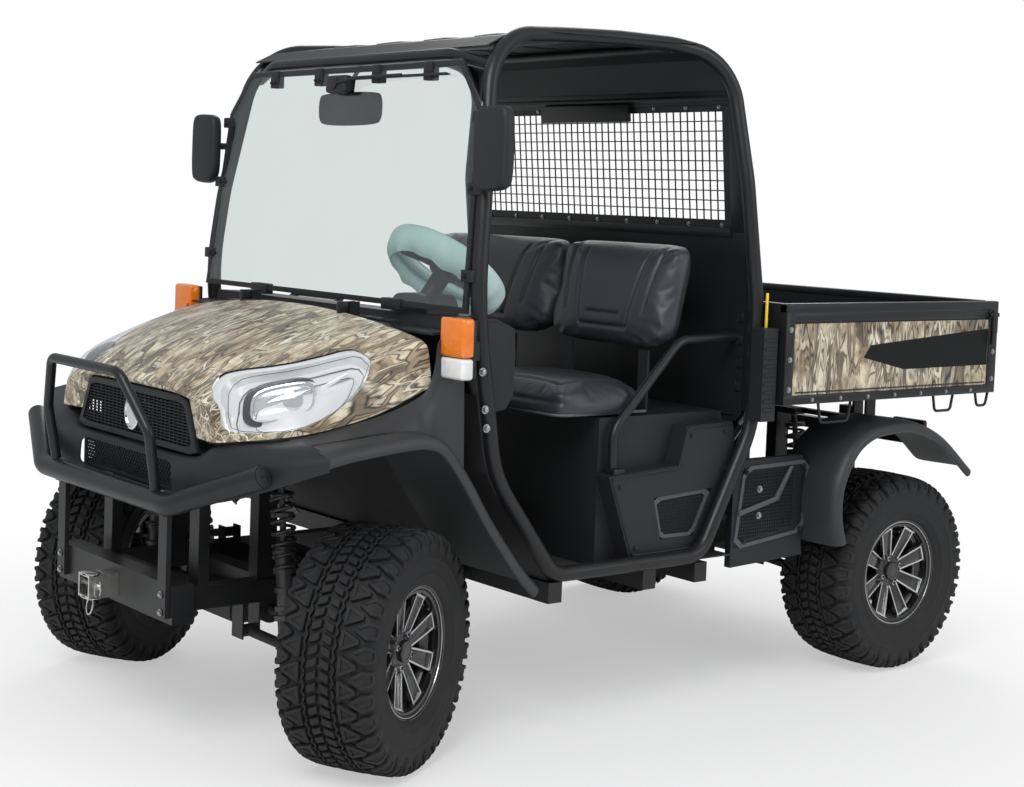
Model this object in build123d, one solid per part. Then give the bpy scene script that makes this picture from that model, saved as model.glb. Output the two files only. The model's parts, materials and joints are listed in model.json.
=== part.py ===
from build123d import *
from math import atan2, cos, hypot, radians, sin, tan
import os

os.makedirs("parts", exist_ok=True)

# Side by side utility vehicle with a two-seat open cab and a tipping cargo bed, in mm.
# x points to the vehicle's left, y to its rear and z up from the ground.
# y is counted from the middle of the wheelbase, and the whole vehicle is shifted
# on export so that y = 0 is the middle of its overall length.

# wheels and axles
wheelbase = 2045
axle_height = 317.5  # loaded tyre radius
tyre_radius = 317.5
tyre_half_width = 133.7
rim_lip_radius = 172.5
rim_seat_radius = 152
rim_wall = 7
rim_half_width = 113.7
lug_count = 20  # on each half of the tread
lug_depth = 13
lug_reach = 16  # past the middle of the tread
spoke_count = 8
spoke_dish = 34  # the hub's face lies this far behind the outer lip
lip_from_kingpin = 165  # outer rim lip, measured out along the axle from the kingpin
front_kingpin_x = 604.5
rear_kingpin_x = 561.5  # the rear hub carrier stands at the same offset, but is fixed
steer_angle = 27.6  # front wheels as parked, turned to the left
spindle_radius = 22
bearing_gap = 0.05
front_axle = -wheelbase / 2
rear_axle = wheelbase / 2

# running clearances
seat_gap = 0.3  # pieces that are bolted or pressed together but drawn apart
moving_gap = 6  # doors, lids and beds against what is fixed

# chassis
rail_x = 250
rail_width = 50
rail_bottom = 372
rail_height = 60
rail_top = rail_bottom + rail_height
bracket_front = -1425
bracket_wall = 6
front_end = bracket_front + bracket_wall + seat_gap
rear_end = 1330
engine_front, engine_rear = 470, 860

# roll cage
cage_tube = 44
seat_base_half = 598
side_box_width = 56.7
sill_z = 452
roof_x = 556
roof_half = 592
hip_x = 620
roof_z = 1956

# cab
sheet = 4
floor_z = rail_top + seat_gap + sheet
cab_half_width = seat_base_half + seat_gap + side_box_width
sill_x = cab_half_width + 25

# hood: half width, lower edge, shoulder and crown of each section along y
hood_sections = [
    # y, half_width, edge_z, shoulder_z, crown_z
    (-1376, 440, 842, 925, 962),
    (-1285, 560, 862, 968, 1030),
    (-1190, 620, 880, 1003, 1078),
    (-1010, 648, 925, 1066, 1138),
    (-866, 668, 992, 1112, 1168),
]
hood_wall = 5
hood_hinge_y = -852
hood_hinge_z = 1178
hood_hinge_x = 262

# cargo bed
bed_half_width = 770
bed_front = 372
bed_rear = 1415
bed_floor_z = 905
bed_floor_thickness = 7
bed_wall = 25
bed_wall_top = 1165
bed_rail_height = 36
bed_hinge_y = 1290
bed_hinge_z = 858
bed_runner_x = 330
tailgate_thickness = 24
bed_runner_z = bed_hinge_z + 16
hook_x = bed_half_width - 14

# lift cylinder: foot on the chassis and head on the bed, as y and z
lift_x = 168
lift_foot = (rear_axle - 462.5, 476)
lift_head = (rear_axle - 82.5, 862)
lift_ear = 32
lift_pin_radius = 10
barrel_radius = 25
barrel_length = 372
lift_rod_radius = 12


def box(x0, x1, y0, y1, z0, z1):
    size = Box(x1 - x0, y1 - y0, z1 - z0)
    return Pos((x0 + x1) / 2, (y0 + y1) / 2, (z0 + z1) / 2) * size


def rod(start, end, radius):
    run = Vector(*end) - Vector(*start)
    bar = Cylinder(radius, run.length, align=(Align.CENTER, Align.CENTER, Align.MIN))
    return Plane(origin=start, z_dir=run) * bar


def bent_tube(points, bend, diameter):
    path = FilletPolyline(*points, radius=bend)
    return sweep(Plane(path @ 0, z_dir=path % 0) * Circle(diameter / 2), path=path)


def both_sides(piece):
    return [piece, mirror(piece, about=Plane.YZ)]


def side_plate(points, x0, x1):
    # a plate whose outline is given in y and z, standing between two x planes
    outline = make_face(Polyline(*points, close=True))
    return extrude(Plane.YZ.offset(x0) * outline, x1 - x0)


def plan_plate(points, z0, z1):
    outline = make_face(Polyline(*points, close=True))
    return extrude(Plane.XY.offset(z0) * outline, z1 - z0)


def parallel(points, distance):
    # the mitred parallel of an open line, on its left for a positive distance
    shifted = []
    for i, (u, v) in enumerate(points):
        before = points[max(i - 1, 0)], points[max(i, 1)]
        after = points[min(i, len(points) - 2)], points[min(i + 1, len(points) - 1)]
        normals = []
        for (u0, v0), (u1, v1) in (before, after):
            run = hypot(u1 - u0, v1 - v0)
            normals.append(((v0 - v1) / run, (u1 - u0) / run))
        nu, nv = normals[0][0] + normals[1][0], normals[0][1] + normals[1][1]
        scale = 2 * distance / (nu * nu + nv * nv)
        shifted.append((u + nu * scale, v + nv * scale))
    return shifted


def side_sheet(points, thickness, x0, x1):
    # sheet bent along a line of y and z points and running across from x0 to x1
    return side_plate(points + parallel(points, thickness)[::-1], x0, x1)


def steered(piece, side, pivot_x, axle_y, angle):
    # from wheel axes (x out along the axle, origin on the kingpin) to its corner
    if side < 0:
        piece = mirror(piece, about=Plane.YZ)
    return Pos(side * pivot_x, axle_y, axle_height) * Rot(0, 0, angle) * piece


pieces = {}


def keep(name, *solids):
    flat = []
    for solid in solids:
        flat += solid.solids()
    pieces[name] = flat


# ---- wheels ----
def tyre_slice(side):
    # one flat-sided slice of the tyre: on one half of the tread its lug stands
    # out to the tip, past the middle, and on the other half runs the groove
    half, lip = tyre_half_width, rim_half_width - rim_wall - seat_gap
    seat = rim_seat_radius + seat_gap
    lug, groove = tyre_radius, tyre_radius - lug_depth
    outline = [
        (lip, seat), (lip, seat + 22), (half, lug - 60), (half - 30, lug - 3),
        (-lug_reach, lug), (-lug_reach, groove), (34 - half, groove - 3),
        (-half, lug - 60), (-lip, seat + 22), (-lip, seat),
    ]
    turn = 90 / lug_count
    section = Plane.XZ * make_face(Polyline(*[(side * u, r) for u, r in outline], close=True))
    wedge_top = tyre_radius + lug_depth
    wedge_half = wedge_top * tan(radians(turn))
    wedge = side_plate([(0, 0), (-wedge_half, wedge_top), (wedge_half, wedge_top)], -half, half)
    return extrude(section, wedge_half, both=True) & wedge


def tyre():
    lugs = [Rot(180 / lug_count * place, 0, 0) * tyre_slice(1 if place % 2 == 0 else -1)
            for place in range(2 * lug_count)]
    return Pos(lip_from_kingpin - rim_half_width, 0, 0) * lugs[0].fuse(*lugs[1:])


def split_spoke():
    # two bars that part from the hub outwards and meet the well in a cross bar
    outer = rim_seat_radius - rim_wall + 1
    bars = make_face(Polyline((44, 4), (outer, 10), (outer, 19), (44, 14), close=True))
    bars += mirror(bars, about=Plane.XZ)
    bars += Pos(outer - 8, 0) * Rectangle(12, 34)
    return extrude(bars, 15)


def rim():
    half, wall, lip = rim_half_width, rim_wall, rim_lip_radius
    seat = rim_seat_radius
    outline = [
        (-half, lip), (-half + wall, lip), (-half + wall, seat), (half - wall, seat),
        (half - wall, lip), (half, lip), (half, seat - wall), (-half, seat - wall),
    ]
    barrel = revolve(make_face(Polyline(*outline, close=True)), Axis.X)
    face_x = half - spoke_dish
    spokes = [Pos(face_x - 15, 0, 0) * Rot(0, 90, 0) * Rot(0, 0, 360 / spoke_count * (i + 0.5))
              * split_spoke() for i in range(spoke_count)]
    hub = extrude(Plane.YZ.offset(half - 88) * Circle(58), 88 - spoke_dish)
    cap = extrude(Plane.YZ.offset(face_x) * Circle(32), 10)
    bore = extrude(Plane.YZ.offset(half - 90) * Circle(spindle_radius + bearing_gap), 52)
    return Pos(lip_from_kingpin - half, 0, 0) * (barrel + spokes + hub + cap - bore)


hub_inner = lip_from_kingpin - 88  # inboard face of the wheel hub
tyre_shape, rim_shape = tyre(), rim()
for place, pivot_x, axle_y, angle in (
    ("front", front_kingpin_x, front_axle, steer_angle),
    ("rear", rear_kingpin_x, rear_axle, 0),
):
    for side, hand in ((1, "left"), (-1, "right")):
        corner = f"{place}_{hand}"
        keep(f"tyre_{corner}", steered(tyre_shape, side, pivot_x, axle_y, angle))
        keep(f"rim_{corner}", steered(rim_shape, side, pivot_x, axle_y, angle))

# ---- knuckles and hub carriers ----
kingpin_half = 65  # ball joints above and below the axle
arm_pin = (-45, 105)  # steering arm's ball, in wheel axes
arm_z = 43  # steering arm above the axle


def carrier(with_arm):
    post = rod((0, 0, -kingpin_half), (0, 0, kingpin_half - 20), 17)
    housing = rod((-34, 0, 0), (hub_inner - moving_gap, 0, 0), 44)
    spindle = rod((hub_inner - 20, 0, 0), (lip_from_kingpin - 41, 0, 0), spindle_radius)
    flange = rod((hub_inner - 16, 0, 0), (hub_inner - 8, 0, 0), 88)
    body = post + housing + spindle + flange
    if with_arm:
        arm = rod((-8, 22, arm_z), (*arm_pin, arm_z), 11)
        body = body + arm + rod((*arm_pin, arm_z - 10), (*arm_pin, arm_z + 10), 16)
    return body


for side, hand in ((1, "left"), (-1, "right")):
    knuckle = steered(carrier(True), side, front_kingpin_x, front_axle, steer_angle)
    keep(f"knuckle_{hand}", knuckle)
keep("rear_hub_carriers",
     *[steered(carrier(False), side, rear_kingpin_x, rear_axle, 0) for side in (1, -1)])

# ---- suspension arms, shocks and drive shafts, the same at both axles ----
lower_inner = (262, 130, 296)  # x, half spacing along y, z
upper_inner = (292, 130, 446)
shock_foot_x, shock_head_x = 386, 318
shock_offset = -80
shock_head_z = 800
bracket_gap = 46  # between the two plates that hold each arm's sleeve


def suspension(axle_y, pivot_x):
    low_z = axle_height - kingpin_half - 22
    high_z = axle_height + kingpin_half
    stud_low = rod((pivot_x, axle_y, low_z), (pivot_x, axle_y, low_z + 22 - seat_gap), 9)
    stud_high = rod((pivot_x, axle_y, high_z), (pivot_x, axle_y, high_z - 20 + seat_gap), 9)
    arms, shocks = [], []
    lower = [(lower_inner[0], axle_y + s * lower_inner[1], lower_inner[2]) for s in (1, -1)]
    upper = [(upper_inner[0], axle_y + s, upper_inner[2]) for s in (upper_inner[1], -2)]
    arm = rod((pivot_x, axle_y, low_z - 10), (pivot_x, axle_y, low_z + 12), 24) + stud_low
    for pivot in lower:
        arm += rod(pivot, (pivot_x, axle_y, low_z), 14)
        sleeve = Vector(0, bracket_gap / 2 - seat_gap, 0)
        arm += rod(Vector(*pivot) - sleeve, Vector(*pivot) + sleeve, 17)
    arms += both_sides(arm)
    arm = rod((pivot_x, axle_y, high_z - 6), (pivot_x, axle_y, high_z + 14), 22) + stud_high
    for pivot in upper:
        arm += rod(pivot, (pivot_x, axle_y, high_z), 12)
        sleeve = Vector(0, bracket_gap / 2 - seat_gap, 0)
        arm += rod(Vector(*pivot) - sleeve, Vector(*pivot) + sleeve, 15)
    arms += both_sides(arm)
    share = (pivot_x - shock_foot_x) / (pivot_x - lower_inner[0])
    foot = Vector(shock_foot_x, axle_y + shock_offset, low_z + share * (lower_inner[2] - low_z))
    head = Vector(shock_head_x, axle_y + shock_offset, shock_head_z)
    way = (head - foot).normalized()
    length = (head - foot).length
    body = rod(foot + way * 34, foot + way * length * 0.5, 24)
    body += rod(foot + way * 18.2, foot + way * 36, 10)
    body += rod(foot + way * length * 0.45, head - way * 10, 9)
    body += rod(foot + way * 70, foot + way * 84, 34) + rod(head - way * 50, head - way * 36, 34)
    for turn in range(8):
        at = foot + way * (84 + turn * (length - 134) / 8 + 12)
        body += rod(at, at + way * 12, 31)
    shocks += both_sides(body)
    return arms, shocks


front_arms, front_shocks = suspension(front_axle, front_kingpin_x)
rear_arms, rear_shocks = suspension(rear_axle, rear_kingpin_x)
keep("suspension_arms", *front_arms, *rear_arms)
keep("shock_absorbers", *front_shocks, *rear_shocks)


def drive_unit(axle_y):
    housing = box(-105, 105, axle_y - 95, axle_y + 95, 272, 366)
    return fillet(housing.edges().filter_by(Axis.X), 30)


def half_shafts(axle_y, pivot_x):
    inner = rod((105 + seat_gap, axle_y, axle_height), (170, axle_y, axle_height), 38)
    shaft = rod((160, axle_y, axle_height), (pivot_x - 60, axle_y, axle_height), 13)
    return both_sides(inner + shaft)


keep("axle_drives", drive_unit(front_axle), drive_unit(rear_axle),
     *half_shafts(front_axle, front_kingpin_x), *half_shafts(rear_axle, rear_kingpin_x))

# ---- steering rack, tie rods, column and wheel ----
rack_y = front_axle + 138
rack_z = axle_height + arm_z - 32
rack_half = 180  # half the housing's length
rack_radius = 13
rack_pin_half = 262  # from the bar's middle to the pin that each tie rod swings on
rack_pin_radius = 6
tie_rod_radius = 9


def pin_place(side):
    turn = radians(steer_angle)
    u, v = side * arm_pin[0], arm_pin[1]
    x = side * front_kingpin_x + u * cos(turn) - v * sin(turn)
    return x, front_axle + u * sin(turn) + v * cos(turn)


rack_shift = (pin_place(1)[0] + pin_place(-1)[0]) / 2
rack_ends = {side: rack_shift + side * rack_pin_half for side in (1, -1)}
rack_housing = rod((-rack_half, rack_y, rack_z), (rack_half, rack_y, rack_z), 24)
rack_housing -= rod((-rack_half - 1, rack_y, rack_z), (rack_half + 1, rack_y, rack_z),
                    rack_radius + bearing_gap)
lap = 18  # each end of the bar is cut down to half its height over this length
rack = rod((rack_ends[-1] - lap, rack_y, rack_z), (rack_ends[1] + lap, rack_y, rack_z), rack_radius)
for end_x in rack_ends.values():
    rack -= box(end_x - lap, end_x + lap, rack_y - 20, rack_y + 20, rack_z - seat_gap, rack_z + 20)
    rack += rod((end_x, rack_y, rack_z - 8), (end_x, rack_y, rack_z + 2 * tie_rod_radius),
                rack_pin_radius)
keep("steering_rack", rack)
for side, hand in ((1, "left"), (-1, "right")):
    end_x = rack_ends[side]
    rod_z = rack_z + tie_rod_radius
    ball_x, ball_y = pin_place(side)
    eye_low, eye_high = (end_x, rack_y, rack_z), (end_x, rack_y, rack_z + 2 * tie_rod_radius)
    tie_rod = rod((end_x, rack_y, rod_z), (ball_x, ball_y, rod_z), tie_rod_radius)
    tie_rod += rod(eye_low, eye_high, rack_radius)
    tie_rod += rod((ball_x, ball_y, rack_z), (ball_x, ball_y, eye_high[2]), rack_radius)
    tie_rod -= rod((end_x, rack_y, rack_z - 1), (end_x, rack_y, eye_high[2] + 1),
                   rack_pin_radius + bearing_gap)
    keep(f"tie_rod_{hand}", tie_rod)

wheel_centre = (330, -565, 1290)
wheel_tilt = 36.5
wheel_radius = 170
wheel_plane = Plane(origin=wheel_centre, x_dir=(1, 0, 0),
                    z_dir=(0, sin(radians(wheel_tilt)), cos(radians(wheel_tilt))))
grip = wheel_plane * Torus(wheel_radius, 14)
spokes = [wheel_plane * Rot(0, 0, turn) * box(20, wheel_radius - 6, -13, 13, -16, -8)
          for turn in (-30, 90, 210)]
boss = wheel_plane * Pos(0, 0, -16) * Cylinder(46, 36)
keep("steering_wheel", grip + spokes + boss)
column_length = 330
column_top = -34 - seat_gap
column = wheel_plane * Pos(0, 0, column_top - column_length / 2) * Cylinder(27, column_length)
keep("steering_gear", rack_housing, column)

# ---- chassis frame ----
outrigger_ys = (-420, -60, 150)
frame = box(-rail_x - rail_width / 2, -rail_x + rail_width / 2,
            front_end, rear_end, rail_bottom, rail_top)
frame += mirror(frame, about=Plane.YZ)
inner_x = rail_x - rail_width / 2
outer_x = rail_x + rail_width / 2
for cross_y in (-1310, -790, 360, engine_front + 25, engine_rear - 25, rear_end - 25):
    frame += box(-inner_x, inner_x, cross_y - 25, cross_y + 25, rail_bottom, rail_top)
for cross_y in outrigger_ys:
    frame += box(-sill_x, sill_x, cross_y - 25, cross_y + 25,
                 rail_bottom, sill_z - cage_tube / 2 - seat_gap)
for axle_y in (front_axle, rear_axle):
    # shock tower and arm brackets
    tower = box(inner_x, outer_x - 6, axle_y + shock_offset - 30, axle_y + shock_offset + 30,
                rail_top, shock_head_z + 16)
    tower += box(inner_x, shock_head_x + 30, axle_y + shock_offset - 30,
                 axle_y + shock_offset + 30, shock_head_z - 4, shock_head_z + 16)
    for step in (1, -1):
        at = axle_y + step * lower_inner[1]
        for plate in (-bracket_gap / 2 - 5, bracket_gap / 2):
            tower += box(inner_x, lower_inner[0] + 18, at + plate, at + plate + 5,
                         lower_inner[2] - 20, rail_bottom)
    for at in (axle_y + upper_inner[1], axle_y - 2):
        for plate in (-bracket_gap / 2 - 5, bracket_gap / 2):
            tower += box(outer_x - 6, upper_inner[0] + 16, at + plate, at + plate + 5,
                         rail_top - 20, upper_inner[2] + 20)
    tower += box(0, inner_x, axle_y + shock_offset - 25, axle_y + shock_offset + 25,
                 shock_head_z - 24, shock_head_z + 16)
    frame += both_sides(tower)
    frame += box(-inner_x, inner_x, axle_y - 30, axle_y + 30, 366 + seat_gap, rail_top - 20)
nose_z = 822
cross_bar_y = -1318
for side in (1, -1):
    upright = box(rail_x - 25, rail_x + 25, cross_bar_y, -1285, rail_top, nose_z)
    upright += box(rail_x - 25, rail_x + 25, 372, 412, rail_top, 840)
    upright += box(rail_x - 25, rail_x + 25, rear_end - 45, rear_end - 5, rail_top, 800)
    frame += upright if side > 0 else mirror(upright, about=Plane.YZ)
frame += box(-600, 600, cross_bar_y, -1290, nose_z - 30, nose_z)
frame += box(-inner_x, inner_x, rack_y - 20, rack_y + 20, rail_bottom, rail_top)
for x in (-160, 160):
    frame += box(x - 15, x + 15, rack_y - 20, rack_y + 20, rack_z + 24 + seat_gap, rail_bottom)
bed_rest_z = bed_runner_z - 1
frame += box(-bed_runner_x - 25, bed_runner_x + 25, 372, 412, 812, bed_rest_z)
for axle_y, stay_z in ((front_axle, 869), (rear_axle, 814)):
    stay = box(inner_x, 600, axle_y - 68, axle_y - 38, stay_z - 16, stay_z)
    stay += box(inner_x, outer_x - 6, axle_y - 68, axle_y - 38, 760, stay_z)
    frame += both_sides(stay)
for side in (1, -1):
    post = box(bed_runner_x - 60, bed_runner_x - 30, rear_end - 45, rear_end - 5, 700, 800)
    frame += post if side > 0 else mirror(post, about=Plane.YZ)
frame += box(-562, 562, rear_end - 45, rear_end - 5, 700, 740)
hinge_pin_radius = 12
ear_half = 27
for side in (1, -1):
    for face in (-1, 1):
        ear_x = side * bed_runner_x + face * ear_half
        ear = box(ear_x - 5, ear_x + 5, bed_hinge_y - 24, bed_hinge_y + 24, 740, bed_hinge_z + 22)
        ear -= rod((ear_x - 9, bed_hinge_y, bed_hinge_z),
                   (ear_x + 9, bed_hinge_y, bed_hinge_z), hinge_pin_radius + bearing_gap)
        frame += ear
    shelf_x = side * bed_runner_x
    frame += box(shelf_x - 34, shelf_x + 34, bed_hinge_y - 30, rear_end - 5, 716, 740)
for face in (-1, 1):
    x = lift_x + face * lift_ear
    ear = box(x - 4, x + 4, lift_foot[0] - 26, lift_foot[0] + 26, rail_top - 20, lift_foot[1] + 24)
    frame += ear
frame += box(lift_x - lift_ear - 4, inner_x, lift_foot[0] - 30, lift_foot[0] + 30,
             rail_bottom, rail_top - 12)
frame += rod((lift_x - lift_ear, *lift_foot), (lift_x + lift_ear, *lift_foot), lift_pin_radius)
keep("chassis_frame", frame)

# ---- engine, closed inside ----
keep("engine_block", box(-205, 125, engine_front, engine_rear, rail_top + seat_gap, 770))

# ---- roll cage ----
front_half = [
    (sill_x, -150, sill_z), (sill_x, -432, sill_z), (690, -662, 745), (697, -746, 1200),
    (676, -718, 1480), (600, -652, 1925), (roof_x, -350, 1948), (roof_x, -150, roof_z),
]
front_bends = [90, 300, 900, 900, 200, 900]
rear_half = [
    (sill_x, -150, sill_z), (sill_x, 142, sill_z), (sill_x, 344, 835), (sill_x, 336, 1210),
    (668, 288, 1560), (600, 262, 1925), (roof_x, 60, roof_z), (roof_x, -150, roof_z),
]
rear_bends = [90, 300, 600, 300, 170, 200]


def hoop_half(points, bends):
    path = FilletPolyline(*points, radius=bends)
    return sweep(Plane(path @ 0, z_dir=path % 0) * Circle(cage_tube / 2), path=path)


hoop = hoop_half(front_half, front_bends) + hoop_half(rear_half, rear_bends)
hoops = hoop + mirror(hoop, about=Plane.YZ)
header = bent_tube([(-606, -636, 1838), (-455, -676, 1874), (455, -676, 1874),
                    (606, -636, 1838)], 90, 34)
cross_tubes = header
for cross_y, cross_z, reach in ((268, 1810, 622), (321, 1400, 660), (336, 1150, 668)):
    cross_tubes += rod((-reach, cross_y, cross_z), (reach, cross_y, cross_z), 15)
for cross_y, cross_z in ((-380, 1934), (60, 1942)):
    cross_tubes += rod((-roof_x, cross_y, cross_z), (roof_x, cross_y, cross_z), 13)
hip = bent_tube([(hip_x, 322 - sheet - seat_gap, 1093), (hip_x, 82, 1088), (hip_x, -172, 832),
                 (hip_x, -168, 722)], 90, 28)
cage = hoops + cross_tubes


def clear_of_cage(piece, reach=cage_tube / 2 + seat_gap):
    # cut back a panel where the side hoops pass
    for points, bends in ((front_half, front_bends), (rear_half, rear_bends)):
        path = FilletPolyline(*points, radius=bends)
        cutter = sweep(Plane(path @ 0, z_dir=path % 0) * Circle(reach), path=path)
        piece = piece - cutter - mirror(cutter, about=Plane.YZ)
    return piece


# ---- cab tub, seats and dash ----
tub_line = [(-700, 960), (-662, 752), (-432, floor_z), (300, floor_z)]
tub = side_sheet(tub_line, -sheet, -cab_half_width, cab_half_width)
keep("floor_pan", tub)
seat_base_front, seat_base_rear = -205, 292
seat_base_top = 868
shell = box(-seat_base_half, seat_base_half, seat_base_front, seat_base_rear,
            floor_z + seat_gap, seat_base_top)
shell -= box(-seat_base_half + sheet, seat_base_half - sheet, seat_base_front + sheet,
             seat_base_rear - sheet, floor_z, seat_base_top - sheet)
side_box_outline = [
    (-212, 706), (62, 722), (92, 836), (284, 842), (296, 800), (296, 700), (180, 459),
    (-117, 457),
]
side_box = side_plate(side_box_outline, seat_base_half + seat_gap, cab_half_width)
panel_inner_x, mesh_x = cab_half_width - 23, cab_half_width - 15
side_box_mesh = [(-32, 632), (212, 646), (140, 506), (2, 508)]
side_box -= side_plate(side_box_mesh, mesh_x, cab_half_width + 1)
side_box += side_plate(side_box_mesh, mesh_x, mesh_x + 3)
seat_side_boxes = both_sides(clear_of_cage(side_box))

seat_split = (85, 75)  # edges of the driver's and the passenger's seat at the split
cushion_top, cushion_bottom = 972, seat_base_top + seat_gap
back_foot, back_head = (18, 1050), (92, 1368)
back_depth = 92
seat_half = 604


def cushion(x0, x1):
    pad = side_plate([(-362, 884), (-350, cushion_top), (20, cushion_top - 14),
                      (26, cushion_bottom), (-205, cushion_bottom)], x0, x1)
    return pad


def back_rest(x0, x1):
    (y0, z0), (y1, z1) = back_foot, back_head
    return side_plate([(y0, z0), (y1, z1), (y1 + back_depth * 0.6, z1 - 4),
                       (y0 + back_depth, z0)], x0, x1)


seats = ((seat_split[0], seat_half), (-seat_half, seat_split[1]))
keep("seat_cushions", *[cushion(x0, x1) for x0, x1 in seats])
keep("seat_backs", *[back_rest(x0, x1) for x0, x1 in seats])
for x in (-480, -120, 160, 500):
    shell += box(x - 20, x + 20, 50, 58, seat_base_top - sheet, back_foot[1] - seat_gap)
keep("seat_base", shell)

dash_line = [(-846, 1128), (-757, 1132), (-752, 1162), (-628, 1158), (-566, 1132), (-566, 968),
             (-640, 905), (-678, 905)]
dash_half = 640 - seat_gap
dash = side_sheet(dash_line, -sheet - 2, -dash_half, dash_half)
dash -= wheel_plane * Pos(0, 0, -300) * Cylinder(27 + seat_gap, 560)
for side in (1, -1):
    for face in (-1, 1):
        x = side * hood_hinge_x + face * 12
        ear = box(x - 2, x + 2, hood_hinge_y - 7, hood_hinge_y + 24, 1124, hood_hinge_z + 8)
        ear -= rod((x - 4, hood_hinge_y, hood_hinge_z), (x + 4, hood_hinge_y, hood_hinge_z),
                   4 + bearing_gap)
        dash += ear
keep("dash", dash)
board_run = Vector(0, tub_line[2][0] - tub_line[1][0], tub_line[2][1] - tub_line[1][1])
pedals = []
for x in (300, 400):
    root = Vector(x, *tub_line[1]) + board_run * 0.42
    board = Plane(origin=root, x_dir=(1, 0, 0), z_dir=(0, -board_run.Z, board_run.Y))
    pad = board * box(-35, 35, -45, 45, 64, 72) + board * box(-7, 7, -7, 7, seat_gap, 66)
    pedals.append(pad)
levers = [rod((x, -250, 560), (x, -320, 760), 7) + Pos(x, -322, 766) * Sphere(20)
          for x in (180, 240)]
levers = [lever + box(x - 20, x + 20, -260, -205 - seat_gap, 540, 580)
          for lever, x in zip(levers, (180, 240))]
keep("controls", *pedals, *levers)

# ---- rear wall of the cab and its screen ----
wall_line = [(322, 862), (322, 1200), (303, 1410)]
wall = side_sheet(wall_line, sheet, -cab_half_width, cab_half_width)
wall = wall - cage
wall = clear_of_cage(wall)
screen_foot, screen_head = (301, 1418), (262, 1796)
screen_half, screen_border = 604, 22
wire_pitch, wire_width = 30, 3.5
screen_rise = hypot(screen_head[0] - screen_foot[0], screen_head[1] - screen_foot[1])
screen_plane = Plane(origin=(0, *screen_foot), x_dir=(1, 0, 0),
                     z_dir=(0, screen_foot[1] - screen_head[1], screen_head[0] - screen_foot[0]))
window_half, window_rise = screen_half - screen_border, screen_rise - 2 * screen_border
screen_frame = box(-screen_half, screen_half, 0, screen_rise, -12, 0)
screen_frame -= box(-window_half, window_half, screen_border, screen_rise - screen_border, -13, 1)
columns, rows = int(2 * window_half / wire_pitch), int(window_rise / wire_pitch)
cells = GridLocations(wire_pitch, wire_pitch, columns, rows)
cell = Rectangle(wire_pitch - wire_width, wire_pitch - wire_width).wire()
wires = Rectangle(2 * window_half + 6, window_rise + 6).face().make_holes(
    [place * cell for place in cells])
wires = Pos(0, screen_rise / 2, -7) * extrude(wires, wire_width)
keep("rear_wall", wall)
keep("rear_screen", clear_of_cage(screen_plane * screen_frame - cage) + screen_plane * wires)
roof_line = [(-664, 1893), (-600, 1925), (-440, 1951), (120, 1962), (226, 1925),
             (screen_head[0], screen_head[1] + 30)]
roof = side_sheet(roof_line, -sheet, -roof_half, roof_half)
# what is left of the sheet outside the hoops is trimmed off
roof = clear_of_cage(roof - cage).solids().sort_by(SortBy.VOLUME)[-1]
keep("roof", roof)

# ---- windscreen ----
screen_low, screen_high = (-767.7, 1180), (-699.9, 1856)
screen_foot_half, screen_head_half = 684, 560
glass_thickness = 5
lean = atan2(screen_high[0] - screen_low[0], screen_high[1] - screen_low[1])
glass_plane = Plane(origin=(0, *screen_low), x_dir=(1, 0, 0), z_dir=(0, -cos(lean), sin(lean)))
glass_height = hypot(screen_high[0] - screen_low[0], screen_high[1] - screen_low[1])
pane_outline = [(-screen_foot_half, 0), (screen_foot_half, 0), (648, 560),
                (screen_head_half - 20, glass_height), (20 - screen_head_half, glass_height),
                (-648, 560)]
pane = extrude(glass_plane * make_face(Polyline(*pane_outline, close=True)), glass_thickness)
keep("windscreen", pane)
clips = []
for x, up in ((655, 130), (640, 430), (395, glass_height - 14)):
    clip = glass_plane * box(x - 16, x + 16, up - 14, up + 14, glass_thickness + seat_gap, 16)
    clips += both_sides(clip)
motor = glass_plane * box(-60, 40, glass_height - 70, glass_height - 26,
                          glass_thickness + seat_gap, 50)
blade = glass_plane * box(-20, 500, glass_height - 46, glass_height - 34,
                          glass_thickness + 8, 20)
keep("windscreen_fittings", motor + blade, *clips)

# ---- hood, grille, lamps and front cover ----
def hood_section(row, inset=0, drop=0):
    y, half, edge, shoulder, crown = row
    low, side = half - inset, half - 26 - inset
    left = Line((-low, edge - drop), (-side, shoulder - inset))
    top = ThreePointArc((-side, shoulder - inset), (0, crown - inset), (side, shoulder - inset))
    right = Line((side, shoulder - inset), (low, edge - drop))
    base = Line((low, edge - drop), (-low, edge - drop))
    face = make_face([left, top, right, base])
    return Plane(origin=(0, y, 0), x_dir=(1, 0, 0), z_dir=(0, -1, 0)) * face


hood_block = loft([hood_section(row) for row in hood_sections], ruled=True)
inner_rows = [(y + (hood_wall if i == 0 else 0), *row)
              for i, (y, *row) in enumerate(hood_sections)]
inner_rows[-1] = (hood_sections[-1][0] + 20, *hood_sections[-1][1:])
hood_inner = loft([hood_section(row, hood_wall, 30) for row in inner_rows], ruled=True)
cover_low, cover_high = 672, 792
grille_top_z, grille_bottom_z = 945, cover_high + seat_gap
grille_bottom = cover_high
grille_top_half, grille_bottom_half = 282, 352


def grille_outline(inset, y0, y1):
    outline = [(-grille_top_half + inset, grille_top_z - inset),
               (grille_top_half - inset, grille_top_z - inset),
               (grille_bottom_half - inset, grille_bottom_z),
               (inset - grille_bottom_half, grille_bottom_z)]
    face = Plane(origin=(0, y1, 0), x_dir=(1, 0, 0), z_dir=(0, -1, 0)) * make_face(
        Polyline(*outline, close=True))
    return extrude(face, y1 - y0)


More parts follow.
